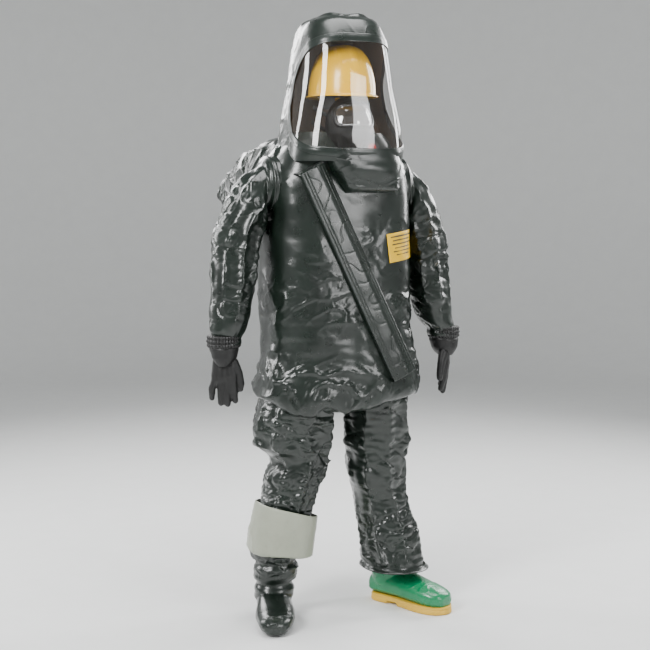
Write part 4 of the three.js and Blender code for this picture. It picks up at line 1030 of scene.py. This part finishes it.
def visor_edge(n, grow=0.0):
    """The visor's outline as (turn, run) pairs, grown by about grow mm."""
    u = np.arange(n) / n * 2 * np.pi
    sx = bent(np.sin(u), 0.5)
    sz = bent(np.cos(u), 0.5)
    z = (VISOR_LOW + VISOR_TOP) / 2 + sz * ((VISOR_TOP - VISOR_LOW) / 2 + grow)
    side = sx * (VISOR_HALF + grow / 1080)
    up = np.clip((z - 1496) / 150, 0, 1)
    side *= 0.74 + 0.26 * up ** 0.7
    z = z - 58 * (np.abs(side) / VISOR_HALF) ** 3.0 * np.clip((z - 1640) / 150, 0,
                                                              1) + 6 * np.clip((1560 - z) / 60, 0, 1) * (
        np.abs(side) / VISOR_HALF) ** 2
    return side, run_of(z)


def in_visor(turn, run):
    """Whether points of the hood are inside the visor's outline."""
    side, height = visor_edge(240)
    poly = np.stack([side, height], 1)
    t = np.where(turn > 0.5, turn - 1, turn)
    inside = np.zeros(t.shape, bool)
    j = len(poly) - 1
    for i in range(len(poly)):
        xi, yi, xj, yj = poly[i, 0], poly[i, 1], poly[j, 0], poly[j, 1]
        crosses = ((yi > run) != (yj > run)) & (t < (xj - xi) * (run - yi) / (yj - yi + 1e-12) + xi)
        inside ^= crosses
        j = i
    return inside


rows, cols = 150, 300
run, turn = np.meshgrid(np.linspace(0, 1, rows), np.arange(cols) / cols, indexing="ij")
shell = hood_at(turn, run)
side_turn = np.where(turn > 0.5, 1 - turn, turn)
folds = fold_field(shell, 101, 0.085, 0.006, (1, 1, 0.8))
folds += 0.010 * np.exp(-((run - 0.90) / 0.02) ** 2) * (0.6 + soft_noise(shell, 0.05, 4))
drape = 0.006 * np.sin(side_turn * 40 + run * 6) * np.clip(1 - run * 2.2, 0, 1)
strength = np.clip((side_turn - 0.2) / 0.05, 0.25, 1)
strength = np.maximum(strength, np.clip((run - 0.8) / 0.05, 0, 1))
shell = shell + grid_normals(shell) * ((folds + drape) * strength)[..., None]
keep = ~in_visor(turn, run)
normals = grid_normals(shell)
if float(np.sum(normals * (shell - shell.mean((0, 1))))) < 0:
    hood_flip, normals = True, -normals
else:
    hood_flip = False
faces = np.array(grid_faces(rows, cols, True, hood_flip))
open_faces = [f.tolist() for f in faces if keep.reshape(-1)[f].all()]


def without_loose(verts, faces, normals):
    """Only the points that faces use."""
    used = np.unique(np.array(faces))
    index = np.zeros(len(verts), int)
    index[used] = np.arange(len(used))
    return verts[used], index[np.array(faces)].tolist(), normals[used]


flat = shell.reshape(-1, 3)
v2, f2, n2 = without_loose(flat, open_faces, normals.reshape(-1, 3))
hood_ob = mesh_object("hood_cloth", v2, f2, n2, FABRIC)
bm = bmesh.new()
bm.from_mesh(hood_ob.data)
bm.verts.ensure_lookup_table()
rim = [e for e in bm.edges if e.is_boundary and min(v.co.z for v in e.verts) > 1.90]
bmesh.ops.contextual_create(bm, geom=rim)
bm.to_mesh(hood_ob.data)
bm.free()
place(hood_ob, "torso", "hood")
inner_shell = shell - normals * 0.0035
v2, f2, n2 = without_loose(inner_shell.reshape(-1, 3), [f[::-1] for f in open_faces],
                           -normals.reshape(-1, 3))
lining_ob = mesh_object("hood_lining", v2, f2, n2, INSIDE)
place(lining_ob, "torso")

# The visor: a clear sheet over the opening, with its sewn band round it.
n = 200
rings = []
for k in range(46):
    share = (k / 45) ** 0.8
    side, height = visor_edge(n, 4)
    mid_run = float(run_of(1668))
    rings.append(hood_at(np.mod(side * share, 1.0), mid_run + (height - mid_run) * share,
                         -1.0))
visor = np.array(rings[1:])
ripple = soft_noise(visor, 0.16, 9) * 0.004 + soft_noise(visor, 0.07, 12) * 0.0012
visor_n = grid_normals(visor)
if float(np.sum(visor_n * (visor - (shell.mean((0, 1)))))) < 0:
    visor_n, visor_flip = -visor_n, True
else:
    visor_flip = False
visor = visor + visor_n * ripple[..., None]
verts = list(visor.reshape(-1, 3)) + [visor[0].mean(0)]
faces = grid_faces(len(visor), n, True, visor_flip)
centre_index = len(verts) - 1
for c in range(n):
    tri = [c, (c + 1) % n, centre_index]
    faces.append(tri if visor_flip else tri[::-1])
visor_ob = mesh_object("visor_film", verts, faces, None, CLEAR)
place(visor_ob, "torso", "visor")

band = []
for grow, out in ((-13, 0.2), (-12.5, 1.4), (-11, 2.2), (-6, 2.4), (-4.6, 1.9), (-3.2, 2.4), (2, 2.6),
                  (8, 2.6), (9.5, 1.9),
                  (11, 2.5), (13, 2.2), (14, 0.6)):
    side, height = visor_edge(520, grow)
    band.append(hood_at(np.mod(side, 1.0), height, out))
band = np.array(band)
band += grid_normals(band) * (soft_noise(band, 0.05, 6) * 0.0015)[..., None]
seal = grid_object("visor_band", band, SEAL, flip=outward_flip(band, shell.mean((0, 1))))
place(seal, "torso", "visor_seal")

# ------------------------------------------------------------------ bib below the visor
rows, cols = 64, 110
u, v = np.meshgrid(np.linspace(0, 1, cols), np.linspace(0, 1, rows))
z_top, z_low = 1506, 1371
left = -128 + 96 * v ** 0.9
right = 150 - 4 * v
x = left + (right - left) * u
corner = np.clip((u - 0.88) / 0.12, 0, 1) * np.clip((v - 0.8) / 0.2, 0, 1)
z = z_top + (z_low - z_top) * v + 30 * corner ** 2 * 0.6
edge_u = 1 - np.abs(2 * u - 1) ** 7
edge_v = np.sqrt(np.clip(1 - np.clip((v - 0.86) / 0.14, 0, 1) ** 2, 0, 1))
hood_front = -48 - 176 * (1 - (np.abs(x) / 190) ** 2.7) ** (1 / 2.7)
full = np.minimum(hood_front - 3, -168) * (1 - v) + (-216 + 10 * v) * v
y = -166 + (full + 166) * np.clip(edge_u, 0, 1) ** 0.5 * edge_v
y -= 7 * np.exp(-((v - 0.55) / 0.2) ** 2) * np.sin(np.pi * u)
bib = np.stack([x / 1000, y / 1000 + OY, z / 1000], -1)
bib_n = grid_normals(bib, False)
sag = fold_field(bib, 111, 0.05, 0.0055, (0.6, 1, 1.5)) * (np.sin(np.pi * np.clip(v * 1.05, 0, 1)) ** 0.6)
bib = bib + np.where(bib_n[..., 1:2] > 0, -bib_n, bib_n) * sag[..., None]
bib_ob = grid_object("chin_bib", bib, FABRIC, wrap=False,
                     flip=facing_front(bib))
place(bib_ob, "torso", "visor_bib")

# ------------------------------------------------------------------ hump over the air set
HUMP = [  # y, middle z, half width, half height
    (120, 1296, 205, 262), (170, 1296, 214, 270), (215, 1298, 220, 266), (262, 1304, 226, 246),
    (310, 1312, 230, 220), (352, 1340, 234, 166), (392, 1366, 238, 100), (422, 1374, 241, 56),
        (444, 1374, 240, 24),
    (451, 1370, 232, 7),
]
fine = catmull(np.array(HUMP, float), np.linspace(0, len(HUMP) - 1, 64))
cols = 260
grid = np.zeros((64, cols, 3))
for r, (y, z, w, h) in enumerate(fine):
    a = arc_table(3.6, h / w)(np.arange(cols) / cols)
    p = 2 / 3.6
    grid[r, :, 0] = w * bent(np.sin(a), p)
    grid[r, :, 2] = z - h * bent(np.cos(a), p)
    grid[r, :, 1] = y
    droop = 0.16 * np.clip((y - 300) / 150, 0, 1) ** 2
    grid[r, :, 2] -= droop * np.abs(grid[r, :, 0]) * 0.35
hump = to_frame(grid)
hump = finer(hump, 0, False)
hump_flip = outward_flip(hump, hump.mean((0, 1)))
hump = hump + grid_normals(hump) * (-1 if hump_flip else 1) * (
    fold_field(hump, 121, 0.085, 0.011, (0.8, 1, 1)))[..., None]
verts, faces = capped(hump)
rows = len(hump)
faces = faces[:(rows - 1) * cols] + [f for f in faces[(rows - 1) * cols:] if f[2] == rows * cols + 1]
if hump_flip:
    faces = [f[::-1] for f in faces]
hump_ob = mesh_object("pack_hump_cloth", verts[:-2] + [verts[-2], verts[-1]], faces, None, FABRIC)
bm = bmesh.new()
bm.from_mesh(hump_ob.data)
bmesh.ops.delete(bm, geom=[v for v in bm.verts if not v.link_faces], context="VERTS")
bm.to_mesh(hump_ob.data)
bm.free()
place(hump_ob, "torso", "pack_hump")

# ------------------------------------------------------------------ closure: flap and hem
foot_pt, top_pt = np.array(CLOSURE_FOOT, float), np.array(CLOSURE_TOP, float)
run_v = top_pt - foot_pt
flap_len = np.linalg.norm(run_v)
run_v /= flap_len
across_v = np.array([run_v[1], -run_v[0]])


def on_closure(across, along, y):
    """A point in the frame from distances across and along the closure, in mm."""
    xz = foot_pt + across_v * across[..., None] + run_v * along[..., None]
    return np.stack([xz[..., 0] / 1000, y / 1000 + OY, xz[..., 1] / 1000], -1)


def strip(name, across_low, across_high, along_low, along_high, profile, mat, seed, wave=1.2, cols=46,
          rows=300):
    """A sewn strip over the closure; profile gives its height in mm for u from 0 to 1 across it."""
    u, v = np.meshgrid(np.linspace(0, 1, cols), np.linspace(0, 1, rows))
    across = across_low + (across_high - across_low) * u
    along = along_low + (along_high - along_low) * v
    ends = np.clip(np.minimum(v, 1 - v) * (along_high - along_low) / 3, 0, 1) ** 0.5
    y = profile(u) * (0.4 + 0.6 * ends)
    base = on_closure(across, along, 0 * y)
    wob = (soft_noise(base, 0.06, seed) * wave + creases(base, 0.045, seed) * wave * 0.6)
    stitch = 0.35 * (np.sin(along / 1.6) > 0.2)
    y = y + wob * np.sin(np.pi * np.clip(u, 0.08, 0.92))
    for line in (0.09, 0.2, 0.8, 0.91):
        y += (1.0 + stitch) * np.exp(-((u - line) * (across_high - across_low) / 1.3) ** 2)
    grid = on_closure(across, along, y)
    ob = grid_object(name, grid, mat, wrap=False, flip=facing_front(grid))
    return ob


def flap_profile(u):
    slope = np.clip((u - 0.62) / 0.38, 0, 1)
    return -179.2 - 1.5 * np.sin(np.pi * u) + 9.5 * slope ** 1.5


flap = strip("storm_flap_cloth", -44, 44, -10, flap_len, flap_profile, FABRIC, 131)
flap_thick = flap.modifiers.new("thick", "SOLIDIFY")
flap_thick.thickness = 0.0016
flap_thick.offset = -1
apply_modifiers(flap)
place(flap, "storm_flap", "storm_flap")


def hem_profile(u):
    return -166 - 11.6 * np.clip(np.minimum(u, 1 - u) * 12, 0, 1) ** 0.5


hem = strip("flap_hem_cloth", -46, -20, 4, flap_len - 2, hem_profile, FABRIC, 133, wave=0.6, cols=26)
place(hem, "torso", "flap_hem")

# ------------------------------------------------------------------ label
LABEL_MIDDLE = (175, 1203)  # x and z, mm


def chest_front(x, z):
    """The chest's smooth front at x and z in the frame's metres, from the trunk's own sections."""
    sec = np.array(TRUNK, float)
    w, d = (np.interp(z * 1000, sec[3:, 2], sec[3:, k]) for k in (3, 4))
    mid, back = (np.interp(z * 1000, sec[3:, 2], sec[3:, k]) for k in (0, 1))
    share = np.clip(np.abs(x * 1000 - mid) / w, 0, 0.999)
    return (back - d * (1 - share ** TRUNK_SHAPE) ** (1 / TRUNK_SHAPE)) / 1000 + OY


def onto_trunk(points, lift):
    """Points moved along Y to lie lift metres in front of the trunk."""
    out = points.copy()
    out[..., 1] = chest_front(points[..., 0], points[..., 2]) - lift
    return out


def patch(name, x0, x1, z0, z1, lift, mat, tilt=7.5, cols=60, rows=44, relief=0.0):
    u, v = np.meshgrid(np.linspace(x0, x1, cols), np.linspace(z0, z1, rows))
    a = math.radians(tilt)
    px = LABEL_MIDDLE[0] + u * math.cos(a) - v * math.sin(a)
    pz = LABEL_MIDDLE[1] + u * math.sin(a) + v * math.cos(a)
    g = np.stack([px / 1000, 0 * px + OY - 0.165, pz / 1000], -1)
    g = onto_trunk(g, lift)
    edge = np.minimum(np.minimum(u - x0, x1 - u), np.minimum(v - z0, z1 - v)) / 1.5
    g[..., 1] += 0.002 * (1 - np.clip(edge, 0, 1)) ** 2
    g[..., 1] -= relief * soft_noise(g, 0.03, 3)
    return grid_object(name, g, mat, wrap=False, flip=facing_front(g))


label = patch("chest_patch", -60, 62, -46, 46, 0.0042, PATCH, relief=0.002)
place(label, "torso", "chest_label")
widths = [(34, 100), (22, 82), (10, 88), (-2, 70), (-13, 84), (-24, 60)]
for k, (z, wide) in enumerate(widths):
    tall = 5.5 if k == 0 else 4.2
    bar_ob = patch(f"patch_bar_{k}", -wide / 2, wide / 2, z - tall / 2, z + tall / 2, 0.0056, INK,
                   cols=30, rows=6)
    place(bar_ob, "torso")

# ------------------------------------------------------------------ helmet
DOME = (0, -56, 1675)
rows, cols = 60, 168
phi = np.linspace(0, np.pi / 2 * 0.995, rows)[:, None]
theta = (np.arange(cols) / cols * 2 * np.pi)[None, :]
rx, ry, rz = 102.5, 129.5, 158.5
px = rx * np.cos(phi) ** 0.66 * np.sin(theta)
py = -ry * np.cos(phi) ** 0.7 * np.cos(theta)
pz = rz * np.sin(phi) + 0 * theta
ridge = np.exp(-((px / 13) ** 4)) * np.clip(np.sin(phi) * 2.4 - 0.5, 0, 1)
side_ridge = np.exp(-(((np.abs(px) - 42) / 5) ** 2)) * np.clip(np.sin(phi) * 2.4 - 1.1,
    0, 1)
grow = 1 + 0.028 * ridge + 0.016 * side_ridge
dome_grid = np.stack([DOME[0] + px * grow, DOME[1] + py * grow, DOME[2] + pz * (1 + 0.008 * ridge)], -1)
brim_rows = []
for out, drop in ((0, 0), (2.5, -0.4), (5, -0.5), (7.5, -1.0), (8.2, -2.6), (7.4, -4.2), (4, -4.6),
                  (0, -4.0), (-3, -3.0)):
    peak = 1 + 1.1 * np.clip(np.cos(theta[0]), 0, 1) ** 2 * 0.9
    wide = rx + out
    deep = ry + out * peak
    brim_rows.append(np.stack([wide * np.sin(theta[0]), DOME[1] - deep * np.cos(theta[0]),
                               DOME[2] + drop - 5 * np.clip(np.cos(theta[0]), 0, 1) ** 2 * out / 8 + 0
                               * wide], -1))
brim_grid = np.array(brim_rows)
helmet_grid = to_frame(np.concatenate([brim_grid[::-1], dome_grid[1:]]))
helmet_flip = outward_flip(helmet_grid, np.array(at(*DOME)))
helmet = grid_object("helmet_shell_smooth", helmet_grid, YELLOW, flip=helmet_flip)
bm = bmesh.new()
bm.from_mesh(helmet.data)
rim = [e for e in bm.edges if e.is_boundary and min(v.co.z for v in e.verts) > 1.80]
bmesh.ops.contextual_create(bm, geom=rim)
bm.to_mesh(helmet.data)
bm.free()
helmet.data.normals_split_custom_set([(0, 0, 0)] * len(helmet.data.loops))
place(helmet, "head", "helmet_shell")

# ------------------------------------------------------------------ face mask
MASK_C = np.array([0, -102, 1572.0])
u, v = np.meshgrid(np.linspace(-1.5, 1.5, 110), np.linspace(-1.35, 1.42, 90))
mx = 80 * np.sin(u) * np.cos(v)
my = -85 * np.cos(u) * np.cos(v)
mz = 100 * np.sin(v)
chin = np.clip((-v - 0.2) / 0.8, 0, 1)
my *= 1 + 0.10 * chin * np.exp(-(u / 0.5) ** 2)
mx *= 1 - 0.22 * chin


def lens_mask(x, z, grow):
    w, h = 60 + grow, 31 + grow
    return (np.abs(x) / w) ** 4 + (np.abs(z - 38 + 0.0015 * x * x) / h) ** 4 < 1


ring = lens_mask(mx, mz, 6) & ~lens_mask(mx, mz, -1)
hollow = lens_mask(mx, mz, -1)
out = np.where(ring, 1.045, 1.0)
ribs = 1 + 0.012 * np.cos(u * 26) * chin
facepiece = np.stack([MASK_C[0] + mx * out * ribs, MASK_C[1] + my * out * ribs, MASK_C[2] + mz * out], -1)
mask_grid = to_frame(facepiece)
flip = float(np.sum(grid_normals(mask_grid, False) * (mask_grid - np.array(at(*MASK_C))))) < 0
faces = [f for f in grid_faces(90, 110, False, flip) if not hollow.reshape(-1)[f].all()]
nn = grid_normals(mask_grid, False).reshape(-1, 3) * (-1 if flip else 1)
v2, f2, n2 = without_loose(mask_grid.reshape(-1, 3), faces, nn)
mask = mesh_object("mask_facepiece_smooth", v2, f2, n2, MASK)
place(mask, "head", "mask_facepiece")
lens = to_frame(np.stack([MASK_C[0] + mx * 1.01, MASK_C[1] + my * 1.01, MASK_C[2] + mz * 1.01], -1))
wide = lens_mask(mx, mz, 4).reshape(-1)
faces = [f for f in grid_faces(90, 110, False, flip) if wide[f].all()]
v2, f2, n2 = without_loose(lens.reshape(-1, 3), faces, nn)
place(mesh_object("mask_window", v2, f2, n2, LENS), "head", "mask_lens")
cup = blob([[(at(0, -128, 1560), 0.026, (1, 1, 1)), (at(0, -142, 1536), 0.030, (1, 1, 1)),
             (at(0, -140, 1514), 0.024, (1, 1, 1))]],
           "mask_nose_cup", MASK, voxel=0.003)
place(cup, "head")
for s, name in ((-1, "right"), (1, "left")):
    for zz, y1, z1 in ((40, 6, 66), (-8, 20, 22)):
        path = [(MASK_C + np.array([s * (70 + 26 * t), 2 + (y1 + 40) * t,
                                    zz + (z1 - zz) * t])) for t in np.linspace(0, 1, 14)]
        g = []
        for p in path:
            g.append([p + np.array([s * a, 0, b]) for a, b in
                      ((0, -7), (1.6, -7), (2.0, 0), (1.6, 7), (0, 7), (-0.4, 0))])
        ob = grid_object(f"mask_strap_{name}_{'upper' if zz > 0 else 'lower'}", to_frame(np.array(g)),
                         MASK)
        place(ob, "head")


def lathe(name, profile, centre, axis, mat, segments=72, ribs=0, depth=0.0):
    """A turned part: profile of (along, radius) in mm round an axis through centre."""
    a = np.arange(segments) / segments * 2 * np.pi
    rows = []
    for along, r in profile:
        rr = r + depth * (np.cos(a * ribs) > 0) * (r > 3) if ribs else np.full(segments, float(r))
        ring = np.stack([rr * np.cos(a), rr * np.sin(a), np.full(segments, float(along))], -1)
        if axis == "y":
            ring = ring[:, [0, 2, 1]]
        elif axis == "x":
            ring = ring[:, [2, 0, 1]]
        rows.append(ring + centre)
    return hard(name, to_frame(np.array(rows)), mat, 35)


pad = lathe("crown_pad", [(0, 30), (2, 34), (8, 36), (16, 34), (24, 36.5), (34, 34.5), (44, 36.5),
                          (54, 34.5),
                          (64, 36), (74, 34), (82, 30), (84, 24)], np.array([0, -56, 1831.0]), "z",
            WEBBING)
place(pad, "head", "crown_spacer")
PORT = np.array([46, -186, 1510.0])
valve = lathe("demand_valve_body", [(0, 15), (0, 21), (2, 24), (10, 25), (11, 23.4), (14, 23.4), (15, 25),
                                    (30, 25), (32, 22),
                                    (38, 20), (60, 19)], PORT, "y", PLASTIC, ribs=24, depth=0.7)
place(valve, "head", "demand_valve")
outlet = lathe("demand_valve_outlet", [(0, 9), (1, 11), (6, 11), (7, 9.6), (20, 9.6), (26, 12)],
               PORT + (0, 22, -40), "z", PLASTIC)
place(outlet, "head")
button = lathe("purge_button_cap", [(-5.4, 4), (-5.2, 9), (-4, 12.2), (-2, 13.4), (6, 13.6), (8, 13.6)],
               PORT, "y", RED)
place(button, "purge_button", "purge_button")

# ------------------------------------------------------------------ the CAD's own pieces that stay
KEEP = {"zipper_tape": ZIP, "zipper_slider": METAL, "exhaust_housing": RUBBER, "exhaust_disc": RED,
        "helmet_cradle": PLASTIC, "helmet_knob": PLASTIC, "back_plate": PLASTIC,
        "air_cylinder": PAINT, "cylinder_valve": METAL, "handwheel": PLASTIC, "air_hose": RUBBER}
for name, mat in KEEP.items():
    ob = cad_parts[name]
    if not ob.material_slots:
        ob.data.materials.append(mat)
    for slot in ob.material_slots:
        slot.material = mat
